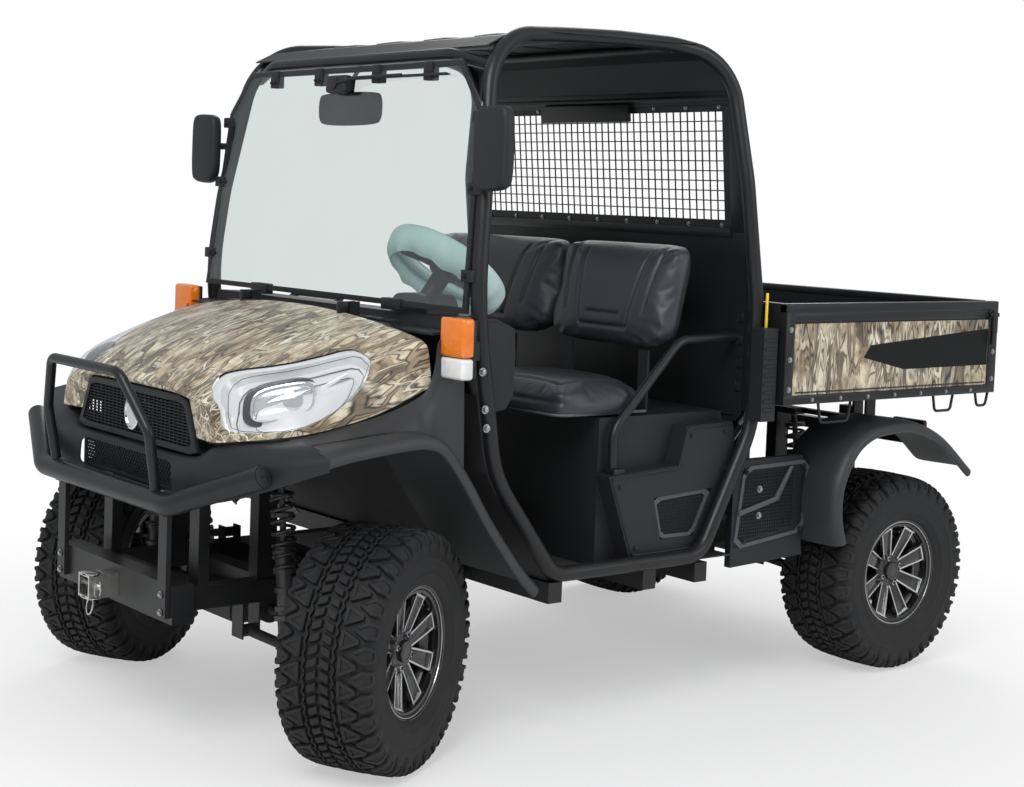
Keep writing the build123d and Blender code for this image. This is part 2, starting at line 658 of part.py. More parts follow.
lamp_outline = [(-1420, 874), (-1420, 966), (-1300, 1020), (-1190, 1046), (-1070, 1088),
                (-1020, 1052), (-1050, 973), (-1210, 890)]
lamp_zone = side_plate(lamp_outline, 405, 700)
lamp_zones = lamp_zone + mirror(lamp_zone, about=Plane.YZ)
hood = hood_block - hood_inner - grille_outline(0, -1500, -1340) - lamp_zones
for side in (1, -1):
    x = side * hood_hinge_x
    hood += box(x - 8, x + 8, hood_hinge_y - 38, hood_hinge_y - 12, hood_hinge_z - 38,
                hood_hinge_z + 8)
    hood += box(x - 8, x + 8, hood_hinge_y - 14, hood_hinge_y + 6, hood_hinge_z - 10,
                hood_hinge_z + 8)
    hood += rod((x - 17, hood_hinge_y, hood_hinge_z), (x + 17, hood_hinge_y, hood_hinge_z), 4)
keep("hood", hood)
lamp_gap = 1
lamp_core = hood_block & side_plate(parallel(lamp_outline + lamp_outline[:1], -lamp_gap)[:-1],
                                    405 + lamp_gap, 700)
lamp_back = loft([hood_section(row, 60, 30) for row in inner_rows], ruled=True)
keep("headlights", *both_sides(lamp_core - lamp_back))
slat_pitch, slat_height = 17, 5
grille_slats = [box(-400, 400, -1370, -1361, z, z + slat_height)
                for z in range(grille_bottom + slat_pitch, grille_top_z - 20, slat_pitch)]
grille = grille_outline(moving_gap, -1372, -1358) - grille_outline(22, -1373, -1357)
grille -= box(-318, 318, -1373, -1357, cover_high, grille_bottom + 14)
grille += [slat & grille_outline(moving_gap, -1371, -1360) for slat in grille_slats]
grille += box(-330, 330, -1372, -1358, grille_bottom_z, grille_bottom + 8)
intake_grille = box(-262, 262, -1393 + seat_gap, -1387, 690, 778)
for z in range(700, 764, slat_pitch):
    intake_grille -= box(-246, 246, -1394, -1386, z, z + slat_pitch - slat_height)
cover_plan = [(-668, -1245), (-590, -1335), (-380, -1398), (380, -1398), (590, -1335),
              (668, -1245)]
cover = plan_plate(cover_plan + parallel(cover_plan, hood_wall)[::-1], cover_low, cover_high)
cover_rear = cross_bar_y - seat_gap
cover += plan_plate([(-600, -1328), (-375, -1392), (375, -1392), (600, -1328),
                     (600, cover_rear), (-600, cover_rear)], cover_high - 5, cover_high)
intake = box(-250, 250, -1420, -1380, 700, 772)
keep("bumper_cover", cover - intake)
keep("grilles", grille, intake_grille)

# ---- fenders ----
front_arch = [(-1266, 856), (-1120, 872), (-940, 880), (-868, 848), (-800, 762), (-728, 655),
              (-622, 520), (-552, 452)]
arch = side_sheet(front_arch, -sheet, 380, 780)
lip = side_sheet(front_arch, -40, 742, 784)
skirt = side_plate([(-1240, 862), (-1200, 868), (-1010, 912), (-870, 972), (-846, 1120),
                    (-772, 1136), (-752, 800), (-716, 700), (-800, 760), (-868, 846),
                    (-940, 876), (-1120, 868)], 640, 646)
fender = arch + lip + skirt
front_fenders = both_sides(clear_of_cage(fender))
rear_arch = [(632, 446), (614, 560), (628, 668), (700, 768), (786, 812), (1000, 820),
             (1140, 770), (1300, 652)]
arch = side_sheet(rear_arch, -sheet, 560, 790)
lip = side_sheet(rear_arch, -38, 752, 794)
keep("fenders", *front_fenders, *both_sides(arch + lip))
panel_front = 300 + seat_gap
panel = side_plate([(panel_front, 720), (608, 720), (600, 560), (616, 446), (622, 404),
                    (panel_front, 393)],
                   panel_inner_x, cab_half_width)
panel_mesh = [(340, 680), (570, 684), (566, 500), (320, 470)]
panel -= side_plate(panel_mesh, mesh_x, cab_half_width + 5)
panel += side_plate(panel_mesh, mesh_x, mesh_x + 3)
intake_box = box(sill_x + cage_tube / 2 + seat_gap, 752, 300, bed_front - 2 * moving_gap, 850, 1120)
keep("side_panels", *seat_side_boxes, *both_sides(clear_of_cage(panel)),
     clear_of_cage(intake_box))

# ---- guards, hitch and lamps in front ----
guard_tube, bar_tube = 28, 58
guard_leg_x = 300
upper = [(295, -1458, 690), (302, -1486, 856), (202, -1524, 1004), (-202, -1524, 1004),
         (-302, -1486, 856), (-295, -1458, 690)]
guard = bent_tube(upper, 45, guard_tube)
lower = [(652, -1358, 786), (372, -1462, 678), (-372, -1462, 678), (-652, -1358, 786)]
guard += bent_tube(lower, 110, bar_tube)
for side in (1, -1):
    low_x, high_x = side * guard_leg_x - 22, side * guard_leg_x + 22
    guard += box(low_x, high_x, bracket_front - 14, bracket_front - seat_gap, 372, 672)
    guard += box(low_x, high_x, -1450, bracket_front - seat_gap, 640, 672)
keep("brush_guard", guard)
channel = box(-335, 335, bracket_front, -1362, 356, 458)
channel -= box(-335 + bracket_wall, 335 - bracket_wall, bracket_front + bracket_wall, -1350,
               356 + bracket_wall, 458 - bracket_wall)
receiver_half = 32
receiver = box(-receiver_half, receiver_half, -1512, bracket_front - seat_gap, 372, 436)
receiver -= box(-26, 26, -1520, -1450, 378, 430)
hitch_pin_radius = 8
hitch_pin_y = -1484
receiver -= rod((-40, hitch_pin_y, 404), (40, hitch_pin_y, 404), hitch_pin_radius)
keep("front_bracket", channel)
signal_low, signal_high = 1012, 1176
signals = both_sides(box(662, 768, -842, -790, signal_low, signal_high))
cage += both_sides(box(676, 716, -790 + seat_gap, -746, 1060, 1110))

# ---- mirrors ----
mirror_head = fillet(box(672, 816, -772, -726, 1498, 1728).edges().filter_by(Axis.Y), 30)
mirror_arm = rod((656, -706, 1622), (712, -745, 1622), 11)
door_mirrors = both_sides(clear_of_cage(mirror_head + mirror_arm))
inside = fillet(box(-180, 130, -690, -664, 1684, 1782).edges().filter_by(Axis.Y), 24)
inside += rod((-25, -676, 1770), (-25, -676, 1874 - 17 - seat_gap), 8)
keep("mirrors", *door_mirrors, inside - cage)

# ---- cargo bed, side panels, tailgate and hooks ----
side_x0 = bed_half_width - bed_wall
bed = box(-bed_half_width, bed_half_width, bed_front, bed_rear - tailgate_thickness - 4,
          bed_floor_z - bed_floor_thickness, bed_wall_top + bed_rail_height)
bed -= box(-side_x0, side_x0, bed_front + bed_wall, bed_rear, bed_floor_z, 1300)
bed += both_sides(box(bed_half_width - 34, bed_half_width, bed_rear - tailgate_thickness - 4,
                      bed_rear, bed_floor_z - bed_floor_thickness,
                      bed_wall_top + bed_rail_height))
runner_low = bed_runner_z
for side in (1, -1):
    x = side * bed_runner_x
    runner = box(x - 20, x + 20, bed_front + 10, 1330, runner_low,
                 bed_floor_z - bed_floor_thickness)
    lug = box(x - 20, x + 20, bed_hinge_y - 22, bed_hinge_y + 22, bed_hinge_z - 22, runner_low)
    pin = rod((x - 36, bed_hinge_y, bed_hinge_z), (x + 36, bed_hinge_y, bed_hinge_z),
              hinge_pin_radius)
    bed += runner + lug + pin
for face in (-1, 1):
    x = lift_x + face * (14 + moving_gap + 4)
    bed += box(x - 4, x + 4, lift_head[0] - 22, lift_head[0] + 22, lift_head[1] - 20,
               bed_floor_z - bed_floor_thickness)
panel_recess = side_plate([(408, 922), (1372, 922), (1372, 1146), (408, 1146)],
                          bed_half_width - 6, bed_half_width + 1)
bed -= panel_recess
bed -= mirror(panel_recess, about=Plane.YZ)
skin = side_plate([(412, 926), (1368, 926), (1368, 1142), (412, 1142)],
                  bed_half_width - 6 + seat_gap, bed_half_width - 2)
keep("bed_side_panels", *both_sides(skin))
gate_half = bed_half_width - 34 - moving_gap
gate_hinge_y, gate_hinge_z = bed_rear - 12, bed_floor_z + 14
gate_pin_radius = 7
bed -= rod((-bed_half_width + 10, gate_hinge_y, gate_hinge_z),
           (bed_half_width - 10, gate_hinge_y, gate_hinge_z), gate_pin_radius + bearing_gap)
gate = box(-gate_half, gate_half, bed_rear - tailgate_thickness, bed_rear,
           bed_floor_z + 28, bed_wall_top + bed_rail_height)
gate += rod((-gate_half, gate_hinge_y, gate_hinge_z), (gate_half, gate_hinge_y, gate_hinge_z), 10)
gate += box(-gate_half, gate_half, bed_rear - 18, bed_rear - 6, gate_hinge_z, bed_floor_z + 28)
gate_pin = rod((-bed_half_width + 12, gate_hinge_y, gate_hinge_z),
               (bed_half_width - 12, gate_hinge_y, gate_hinge_z), gate_pin_radius)
keep("tailgate", gate + gate_pin)
hooks = []
for y0, y1, reach in ((548, 700, 62), (1108, 1212, 52), (1330, 1400, 44)):
    z = bed_floor_z - bed_floor_thickness
    loop = bent_tube([(hook_x, y0, z + 3), (hook_x, y0 + 12, z - reach),
                      (hook_x, y1 - 12, z - reach), (hook_x, y1, z + 3)], 16, 9)
    hooks += both_sides(loop)
keep("cargo_bed", bed + hooks)

# ---- lift cylinder, its rod's eye between the bed's lugs ----
lift_run = hypot(lift_head[0] - lift_foot[0], lift_head[1] - lift_foot[1])
lift_plane = Plane(origin=(lift_x, *lift_foot), x_dir=(1, 0, 0),
                   z_dir=(0, lift_head[0] - lift_foot[0], lift_head[1] - lift_foot[1]))


def along_lift(start, end, radius):
    bar = Cylinder(radius, end - start, align=(Align.CENTER, Align.CENTER, Align.MIN))
    return lift_plane * Pos(0, 0, start) * bar


def lift_eye(at, half_width, radius):
    return lift_plane * Pos(0, 0, at) * Rot(0, 90, 0) * Cylinder(radius, 2 * half_width)


piston_at = 52
barrel = along_lift(24, barrel_length, barrel_radius)
barrel -= along_lift(piston_at - 14, barrel_length - 20, barrel_radius - 7)
barrel -= along_lift(barrel_length - 30, barrel_length + 1, lift_rod_radius + bearing_gap)
barrel += lift_eye(0, lift_ear - 4 - 3, 22) + along_lift(10, 30, 14)
barrel -= lift_eye(0, lift_ear + 10, lift_pin_radius + bearing_gap)
keep("lift_cylinder", barrel)
ram = along_lift(piston_at, lift_run - 8, lift_rod_radius)
ram += along_lift(piston_at, piston_at + 20, barrel_radius - 7 - 1)
ram += lift_eye(lift_run, 14, 18)
keep("lift_rod", ram)

# ---- rear end ----
tail_lamps = both_sides(box(430, 560, rear_end - 5 + seat_gap, rear_end + 24, 700, 780))
keep("signal_lamps", *signals, *tail_lamps)
hitch = box(-receiver_half, receiver_half, rear_end + seat_gap, rear_end + 80, 366, 430)
hitch -= box(-26, 26, rear_end + 20, rear_end + 90, 372, 424)
hitch -= rod((-40, rear_end + 52, 398), (40, rear_end + 52, 398), hitch_pin_radius)
keep("hitch_receivers", receiver, hitch)
keep("cab_frame", cage + both_sides(hip))

# ---- export, with y = 0 at the middle of the overall length ----
low_y = min(s.bounding_box().min.Y for solids in pieces.values() for s in solids)
high_y = max(s.bounding_box().max.Y for solids in pieces.values() for s in solids)
shift_y = -(low_y + high_y) / 2
print("shift", round(shift_y, 3), "length", round(high_y - low_y, 1))
for name, solids in pieces.items():
    placed = [Pos(0, shift_y, 0) * solid for solid in solids]
    export_step(Compound(children=placed), f"parts/{name}.step")
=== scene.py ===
import json
from math import atan2, cos, hypot, pi, radians, sin, tan

import bpy
from mathutils import Matrix, Vector


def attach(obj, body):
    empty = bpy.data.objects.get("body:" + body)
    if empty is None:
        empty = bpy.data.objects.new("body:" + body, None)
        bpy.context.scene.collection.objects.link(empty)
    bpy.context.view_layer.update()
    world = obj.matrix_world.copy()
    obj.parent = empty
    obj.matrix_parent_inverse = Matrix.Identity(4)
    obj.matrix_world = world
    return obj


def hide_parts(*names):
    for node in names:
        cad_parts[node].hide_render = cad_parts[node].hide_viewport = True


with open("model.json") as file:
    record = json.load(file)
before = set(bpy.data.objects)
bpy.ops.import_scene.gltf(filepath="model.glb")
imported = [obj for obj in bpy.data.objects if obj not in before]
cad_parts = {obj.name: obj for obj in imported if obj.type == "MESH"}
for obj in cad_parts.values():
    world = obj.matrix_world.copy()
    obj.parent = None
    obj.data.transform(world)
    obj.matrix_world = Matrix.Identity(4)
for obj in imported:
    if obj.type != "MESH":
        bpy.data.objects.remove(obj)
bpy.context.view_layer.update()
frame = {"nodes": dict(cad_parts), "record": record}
nodes = frame["nodes"]
print("frame loaded:", len(nodes), "nodes")

# everything is in metres; y runs to the rear and x to the vehicle's left
midY = 0.0615  # y of the middle of the wheelbase
axle = {"front": midY - 1.0225, "rear": midY + 1.0225, "height": 0.3175}


# small helpers for modelling in edit mode
def deselectAll():
    if bpy.context.object and bpy.context.object.mode != "OBJECT":
        bpy.ops.object.mode_set(mode="OBJECT")
    bpy.ops.object.select_all(action="DESELECT")


def pick(obj):
    deselectAll()
    obj.select_set(True)
    bpy.context.view_layer.objects.active = obj
    return obj


def selectMesh():
    bpy.ops.mesh.select_all(action="SELECT")


def editing(obj):
    # edit mode with the whole mesh selected
    pick(obj)
    bpy.ops.object.mode_set(mode="EDIT")
    selectMesh()


def done():
    bpy.ops.object.mode_set(mode="OBJECT")


def named(name):
    obj = bpy.context.object
    obj.name = name
    obj.data.name = name
    return obj


def freeze(obj):
    # place in the mesh, object at the origin
    pick(obj)
    bpy.ops.object.transform_apply(location=True, rotation=True, scale=True)
    return obj


def modified(obj, kind, **settings):
    pick(obj)
    modifier = obj.modifiers.new(kind.lower(), kind)
    for key, value in settings.items():
        setattr(modifier, key, value)
    bpy.ops.object.modifier_apply(modifier=modifier.name)
    return obj


def bevelled(obj, width, segments, angle):
    # edges sharper than this angle cut back
    return modified(obj, "BEVEL", width=width, segments=segments, limit_method="ANGLE",
                    angle_limit=radians(angle))


def cleaned(obj, distance=0.00002):
    editing(obj)
    bpy.ops.mesh.remove_doubles(threshold=distance)
    bpy.ops.mesh.normals_make_consistent(inside=False)
    done()
    return obj


def smooth(obj, angle=35):
    pick(obj)
    bpy.ops.object.shade_smooth_by_angle(angle=radians(angle))
    return obj


def joined(name, parts):
    deselectAll()
    for part in parts:
        part.select_set(True)
    bpy.context.view_layer.objects.active = parts[0]
    if len(parts) > 1:
        bpy.ops.object.join()
    return named(name)


def copied(obj, name):
    twin = obj.copy()
    twin.data = obj.data.copy()
    bpy.context.scene.collection.objects.link(twin)
    twin.name = name
    twin.data.name = name
    return twin


mirror = Matrix.Diagonal((-1, 1, 1, 1))


def turned(obj, matrix):
    obj.data.transform(matrix)
    if matrix.determinant() < 0:
        obj.data.flip_normals()
    return obj


def sheetOf(name, columns, rows, shape):
    # a grid whose points are moved to shape(u, v), with u and v from 0 to 1
    deselectAll()
    bpy.ops.mesh.primitive_grid_add(x_subdivisions=columns, y_subdivisions=rows, size=1)
    obj = named(name)
    for vertex in obj.data.vertices:
        vertex.co = Vector(shape(vertex.co.x + 0.5, vertex.co.y + 0.5))
    return obj


def slab(name, outline, low, high, axis="x", bevel=0.0, segments=2):
    # a flat outline extruded along an axis: its points are (y, z), (x, z) or (x, y)
    deselectAll()
    bpy.ops.mesh.primitive_circle_add(vertices=len(outline), radius=1, fill_type="NGON")
    obj = named(name)
    for vertex, (a, b) in zip(obj.data.vertices, outline):
        vertex.co = {"x": (low, a, b), "y": (a, low, b), "z": (a, b, low)}[axis]
    run = {"x": (high - low, 0, 0), "y": (0, high - low, 0), "z": (0, 0, high - low)}[axis]
    editing(obj)
    bpy.ops.mesh.extrude_region_move(TRANSFORM_OT_translate={"value": run})
    selectMesh()
    bpy.ops.mesh.normals_make_consistent(inside=False)
    done()
    if bevel:
        bevelled(obj, bevel, segments, 30)
    return obj


def block(name, low, high, bevel=0.003, segments=2):
    deselectAll()
    middle = [(a + b) / 2 for a, b in zip(low, high)]
    bpy.ops.mesh.primitive_cube_add(size=1, location=middle)
    obj = named(name)
    obj.scale = [b - a for a, b in zip(low, high)]
    freeze(obj)
    if bevel:
        modified(obj, "BEVEL", width=bevel, segments=segments)
    return obj


def rodOf(name, start, end, radius, sides=24, bevel=0.0):
    deselectAll()
    start, end = Vector(start), Vector(end)
    bpy.ops.mesh.primitive_cylinder_add(vertices=sides, radius=radius, depth=(end - start).length)
    obj = named(name)
    obj.data.transform((end - start).to_track_quat("Z", "Y").to_matrix().to_4x4())
    obj.data.transform(Matrix.Translation((start + end) / 2))
    if bevel:
        bevelled(obj, bevel, 2, 40)
    return obj


def spunProfile(name, profile, steps, closed=True):
    # points of (along x, radius) spun about the x axis
    deselectAll()
    bpy.ops.mesh.primitive_circle_add(vertices=len(profile), radius=1, fill_type="NOTHING")
    obj = named(name)
    for vertex, (along, radius) in zip(obj.data.vertices, profile):
        vertex.co = (along, 0, -radius)
    editing(obj)
    if not closed:
        bpy.ops.mesh.select_all(action="DESELECT")
        done()
        last = len(profile) - 1
        for edge in obj.data.edges:
            edge.select = set(edge.vertices) == {0, last}
        bpy.ops.object.mode_set(mode="EDIT")
        bpy.ops.mesh.select_mode(type="EDGE")
        bpy.ops.mesh.delete(type="EDGE_FACE")
        bpy.ops.mesh.select_mode(type="VERT")
    selectMesh()
    bpy.ops.mesh.spin(steps=steps, angle=2 * pi, center=(0, 0, 0), axis=(1, 0, 0))
    selectMesh()
    bpy.ops.mesh.remove_doubles(threshold=0.00002)
    bpy.ops.mesh.normals_make_consistent(inside=False)
    done()
    return obj


def spunCopies(obj, steps):
    # copies of the whole mesh about the x axis, joined
    editing(obj)
    bpy.ops.mesh.spin(steps=steps, dupli=True, angle=2 * pi, center=(0, 0, 0), axis=(1, 0, 0))
    selectMesh()
    bpy.ops.mesh.remove_doubles(threshold=0.00002)
    done()
    return obj


# camera, floor and light
camera = {"place": (4.29617, -3.53912, 1.48457), "yaw": 52.456, "pitch": 3.744, "roll": 2.0326,
          "lens": 61.75, "shiftX": 0.0605, "shiftY": -0.0796}
deselectAll()
bpy.ops.object.camera_add()
eye = bpy.context.object
eye.matrix_world = (
    Matrix.Translation(camera["place"]) @ Matrix.Rotation(radians(camera["yaw"]), 4, "Z")
    @ Matrix.Rotation(radians(90 - camera["pitch"]), 4, "X")
    @ Matrix.Rotation(radians(camera["roll"]), 4, "Z"))
eye.data.sensor_width = 36
eye.data.lens = camera["lens"]
eye.data.shift_x, eye.data.shift_y = camera["shiftX"], camera["shiftY"]
bpy.context.scene.camera = eye
bpy.context.scene.view_settings.view_transform = "Standard"

studio = {"world": 0.55, "keyPower": 230, "fillPower": 60, "rimPower": 110, "floor": 0.86,
          "glow": 0.45}
deselectAll()
bpy.ops.mesh.primitive_plane_add(size=60)
ground = named("studioFloor")


def lampAt(name, at, aim, size, power):
    bpy.ops.object.light_add(type="AREA", location=at)
    lamp = bpy.context.object
    lamp.name = name
    lamp.data.shape = "RECTANGLE"
    lamp.data.size, lamp.data.size_y = size
    lamp.data.energy = power
    lamp.rotation_mode = "QUATERNION"
    lamp.rotation_quaternion = (Vector(aim) - Vector(at)).to_track_quat("-Z", "Y")


lampAt("keyLight", (3.2, -4.5, 5.2), (0, 0, 0.8), (3.2, 3.2), studio["keyPower"])
lampAt("fillLight", (5.5, 2.5, 3.2), (0, 0.2, 0.8), (3, 3), studio["fillPower"])
lampAt("rimLight", (-3.5, 3.5, 4.5), (0, 0, 1.0), (3.5, 3.5), studio["rimPower"])
print("camera, floor and light ready")


# materials: shared effects as node groups, and one function for each finish
def fill(tree, node, values):
    # a value is a constant for the node's input, or a socket to join to it
    for key, value in values.items():
        if isinstance(value, bpy.types.NodeSocket):
            tree.links.new(value, node.inputs[key])
        else:
            node.inputs[key].default_value = value
    return node


def addNode(tree, kind, values=None, **settings):
    made = tree.nodes.new(kind)
    for key, value in settings.items():
        setattr(made, key, value)
    return fill(tree, made, values or {})


def noise(tree, values):
    return addNode(tree, "ShaderNodeTexNoise", values).outputs["Fac"]


def ranged(tree, value, limits, **settings):
    return addNode(tree, "ShaderNodeMapRange", {"Value": value, **limits},
                   **settings).outputs["Result"]


def combined(tree, operation, first, second):
    return addNode(tree, "ShaderNodeMath", {0: first, 1: second}, operation=operation).outputs[0]


def tinted(tree, share, first, second):
    return addNode(tree, "ShaderNodeMix", {"Factor": share, "A": first, "B": second},
                   data_type="RGBA").outputs["Result"]


def relief(tree, height, strength, distance):
    return addNode(tree, "ShaderNodeBump", {
        "Height": height, "Strength": strength, "Distance": distance}).outputs["Normal"]


def blended(tree, share, first, second, out):
    # two shaders mixed and led to the output
    mix = addNode(tree, "ShaderNodeMixShader",
                  {"Fac": share, 1: first.outputs[0], 2: second.outputs[0]})
    fill(tree, out, {"Surface": mix.outputs[0]})


def seenRays(tree):
    # 1 where the camera looks straight or through glass
    rays = addNode(tree, "ShaderNodeLightPath").outputs
    return combined(tree, "MAXIMUM", rays["Is Camera Ray"], rays["Is Transmission Ray"])


def newGroup(name, numbers, results):
    # a group with a Vector and the given numbers going in
    group = bpy.data.node_groups.new(name, "ShaderNodeTree")
    group.interface.new_socket("Vector", in_out="INPUT", socket_type="NodeSocketVector")
    for label, value in numbers.items():
        socket = group.interface.new_socket(label, in_out="INPUT", socket_type="NodeSocketFloat")
        socket.default_value = value
    for label, kind in results.items():
        group.interface.new_socket(label, in_out="OUTPUT", socket_type=kind)
    given = group.nodes.new("NodeGroupInput").outputs
    return group, given, group.nodes.new("NodeGroupOutput")


def grainGroup():
    # moulded or sprayed surface: fine grain for bump, and slow drift for colour and gloss
    group, given, out = newGroup(
        "surfaceGrain", {"Grain": 900.0, "Drift": 3.0},
        {"Height": "NodeSocketFloat", "Drift": "NodeSocketFloat"})
    fine = noise(
        group,
        {"Vector": given["Vector"], "Scale": given["Grain"], "Detail": 3.0, "Roughness": 0.6})
    slow = noise(
        group,
        {"Vector": given["Vector"], "Scale": given["Drift"], "Detail": 4.0, "Roughness": 0.55})
    fill(group, out, {"Height": fine, "Drift": slow})
    return group


def dustGroup():
    # road dust: thicker low down, in patches
    group, given, out = newGroup(
        "roadDust", {"Amount": 0.5, "Height": 0.9}, {"Mask": "NodeSocketFloat"})
    parts = addNode(group, "ShaderNodeSeparateXYZ", {0: given["Vector"]}).outputs
    low = ranged(group, parts["Z"],
                 {"From Min": 0.0, "From Max": given["Height"], "To Min": 1.0, "To Max": 0.0})
    spots = noise(group,
                  {"Vector": given["Vector"], "Scale": 9.0, "Detail": 8.0, "Roughness": 0.7})
    patch = ranged(group, spots, {"From Min": 0.35, "From Max": 0.75})
    both = combined(group, "MULTIPLY", low, patch)
    fill(group, out, {"Mask": combined(group, "MULTIPLY", both, given["Amount"])})
    return group


grain, dust = grainGroup(), dustGroup()
dustColour = (0.17, 0.155, 0.13, 1)
pane = {"gloss": 0.02, "cover": 0.04, "streaks": 0.05}


def newMaterial(name):
    made = bpy.data.materials.new(name)
    made.use_nodes = True
    tree = made.node_tree
    where = addNode(tree, "ShaderNodeTexCoord").outputs["Object"]
    return made, tree, tree.nodes["Principled BSDF"], where


def useGroup(tree, group, values):
    return addNode(tree, "ShaderNodeGroup", values, node_tree=group).outputs


def finish(name, colour, roughness, metallic=0.0, grainScale=900.0, bump=0.15, drift=3.0,
           colourSpread=0.18, roughSpread=0.12, dustAmount=0.0, dustHeight=0.8, coat=0.0,
           specular=0.5):
    # the usual finish: a colour and gloss that drift a little, a fine grain, and some dust
    made, tree, shader, where = newMaterial(name)
    worn = useGroup(tree, grain, {"Grain": grainScale, "Drift": drift, "Vector": where})
    dark = [c * (1 - colourSpread) for c in colour] + [1]
    pale = [min(1, c * (1 + colourSpread)) for c in colour] + [1]
    tint = tinted(tree, worn["Drift"], dark, pale)
    powder = useGroup(
        tree, dust, {"Amount": dustAmount, "Height": dustHeight, "Vector": where})["Mask"]
    dusty = tinted(tree, powder, tint, dustColour)
    gloss = ranged(
        tree, worn["Drift"],
        {"To Min": max(0.02, roughness - roughSpread), "To Max": min(1, roughness + roughSpread)})
    dulled = combined(tree, "MAXIMUM", gloss, powder)
    fill(tree, shader, {
        "Base Color": dusty, "Roughness": dulled, "Metallic": metallic, "Coat Weight": coat,
        "Normal": relief(tree, worn["Height"], bump, 0.0006), "Specular IOR Level": specular})
    return made


def materialOut(tree):
    return next(node for node in tree.nodes if node.type == "OUTPUT_MATERIAL")


def thinGlass(name, colour):
    # a thin pane: light passes straight through a tint, and its face shines at a slant
    made, tree, shader, where = newMaterial(name)
    film = useGroup(tree, grain, {"Grain": 60.0, "Drift": 2.5, "Vector": where})["Drift"]
    tree.nodes.remove(shader)
    clear = addNode(tree, "ShaderNodeBsdfTransparent", {"Color": (*colour, 1)})
    rough = ranged(
        tree, film,
        {"From Min": 0.3, "From Max": 0.8, "To Min": pane["gloss"], "To Max": pane["gloss"]
            + 0.05})
    shine = addNode(tree, "ShaderNodeBsdfGlossy",
                    {"Color": (0.9, 0.95, 0.95, 1), "Roughness": rough})
    slant = addNode(tree, "ShaderNodeFresnel", {"IOR": 1.42}).outputs[0]
    side = addNode(tree, "ShaderNodeNewGeometry").outputs["Backfacing"]
    edge = combined(tree, "MULTIPLY", slant, combined(tree, "SUBTRACT", 1.0, side))
    smear = ranged(
        tree, film, {"From Min": 0.45, "From Max": 0.85, "To Min": pane["cover"],
                     "To Max": pane["cover"] + pane["streaks"]})
    blended(tree, combined(tree, "ADD", edge, smear), clear, shine, materialOut(tree))
    return made


def camoGroup():
    # generic reeds, twigs and leaf litter, from dark ground up to dry grass
    group, given, out = newGroup("reedCamouflage", {}, {"Color": "NodeSocketColor"})

    def moved(scale, turn, seed):
        return addNode(group, "ShaderNodeMapping", {
            "Vector": given["Vector"], "Location": (seed, seed * 0.7, seed * 1.3),
            "Rotation": [radians(a) for a in turn], "Scale": scale}).outputs["Vector"]

    def vectors(operation, values):
        return addNode(group, "ShaderNodeVectorMath", values, operation=operation).outputs[0]

    def warped(vector, scale, amount):
        swirl = addNode(group, "ShaderNodeTexNoise",
                        {"Vector": vector, "Scale": scale, "Detail": 2.0}).outputs["Color"]
        centred = vectors("SUBTRACT", {0: swirl, 1: (0.5, 0.5, 0.5)})
        return vectors("ADD", {0: vector, 1: vectors("SCALE", {0: centred, "Scale": amount})})

    def ramp(source, stops):
        made = addNode(group, "ShaderNodeValToRGB", {"Fac": source})
        while len(made.color_ramp.elements) < len(stops):
            made.color_ramp.elements.new(0.5)
        for element, (at, colour) in zip(made.color_ramp.elements, stops):
            element.position, element.color = at, (*colour, 1)
        return made.outputs["Color"]

    def stepped(source, low, high):
        return ranged(group, source, {"From Min": low, "From Max": high})

    litter = noise(
        group, {"Vector": warped(moved((7, 7, 5), (0, 0, 0), 3.0), 2.0, 0.9), "Scale": 1.0,
                "Detail": 6.0, "Roughness": 0.62})
    colour = ramp(litter, [
        (0.28, (0.04, 0.031, 0.022)), (0.39, (0.15, 0.115, 0.076)), (0.45, (0.34, 0.265, 0.175)),
        (0.51, (0.56, 0.47, 0.33)), (0.59, (0.76, 0.68, 0.52)), (0.74, (0.88, 0.83, 0.7))])
    # stalk layers: thin cells of a stretched pattern, each with a dark edge beside it
    layers = (
        ((16, 16, 3.2), (20, 10, 15), 1.7, 0.075, (0.7, 0.62, 0.46), (0.09, 0.07, 0.045), 0.42),
        ((13, 13, 2.4), (-28, 22, 40), 6.1, 0.06, (0.4, 0.32, 0.21), (0.04, 0.032, 0.022), 0.45),
        ((21, 21, 4.2), (38, -15, 75), 9.4, 0.065, (0.83, 0.77, 0.62), (0.15, 0.115, 0.07), 0.5),
        ((9, 9, 1.7), (-12, -30, 110), 4.2, 0.05, (0.24, 0.19, 0.125), (0.03, 0.024, 0.018), 0.52),
    )
    for scale, turn, seed, width, pale, shadow, cover in layers:
        cells = addNode(group, "ShaderNodeTexVoronoi", {
            "Vector": warped(moved(scale, turn, seed), 0.8, 1.1), "Scale": 1.0,
            "Randomness": 1.0}, feature="DISTANCE_TO_EDGE").outputs["Distance"]
        patches = noise(
            group, {"Vector": moved((1, 1, 1), (0, 0, 0), seed * 3), "Scale": 5.0, "Detail": 1.0})
        present = stepped(patches, cover - 0.03, cover + 0.05)
        edge = combined(group, "MULTIPLY", stepped(cells, width * 1.7, width * 1.1), present)
        body = combined(group, "MULTIPLY", stepped(cells, width, width * 0.6), present)
        colour = tinted(group, edge, colour, (*shadow, 1))
        streak = noise(group,
                       {"Vector": moved((1, 1, 0.2), turn, seed), "Scale": 40.0, "Detail": 3.0})
        bark = ramp(streak, [(0.3, tuple(c * 0.55 for c in pale)), (0.62, pale)])
        colour = tinted(group, body, colour, bark)
    fill(group, out, {"Color": colour})
    return group


camouflage = camoGroup()


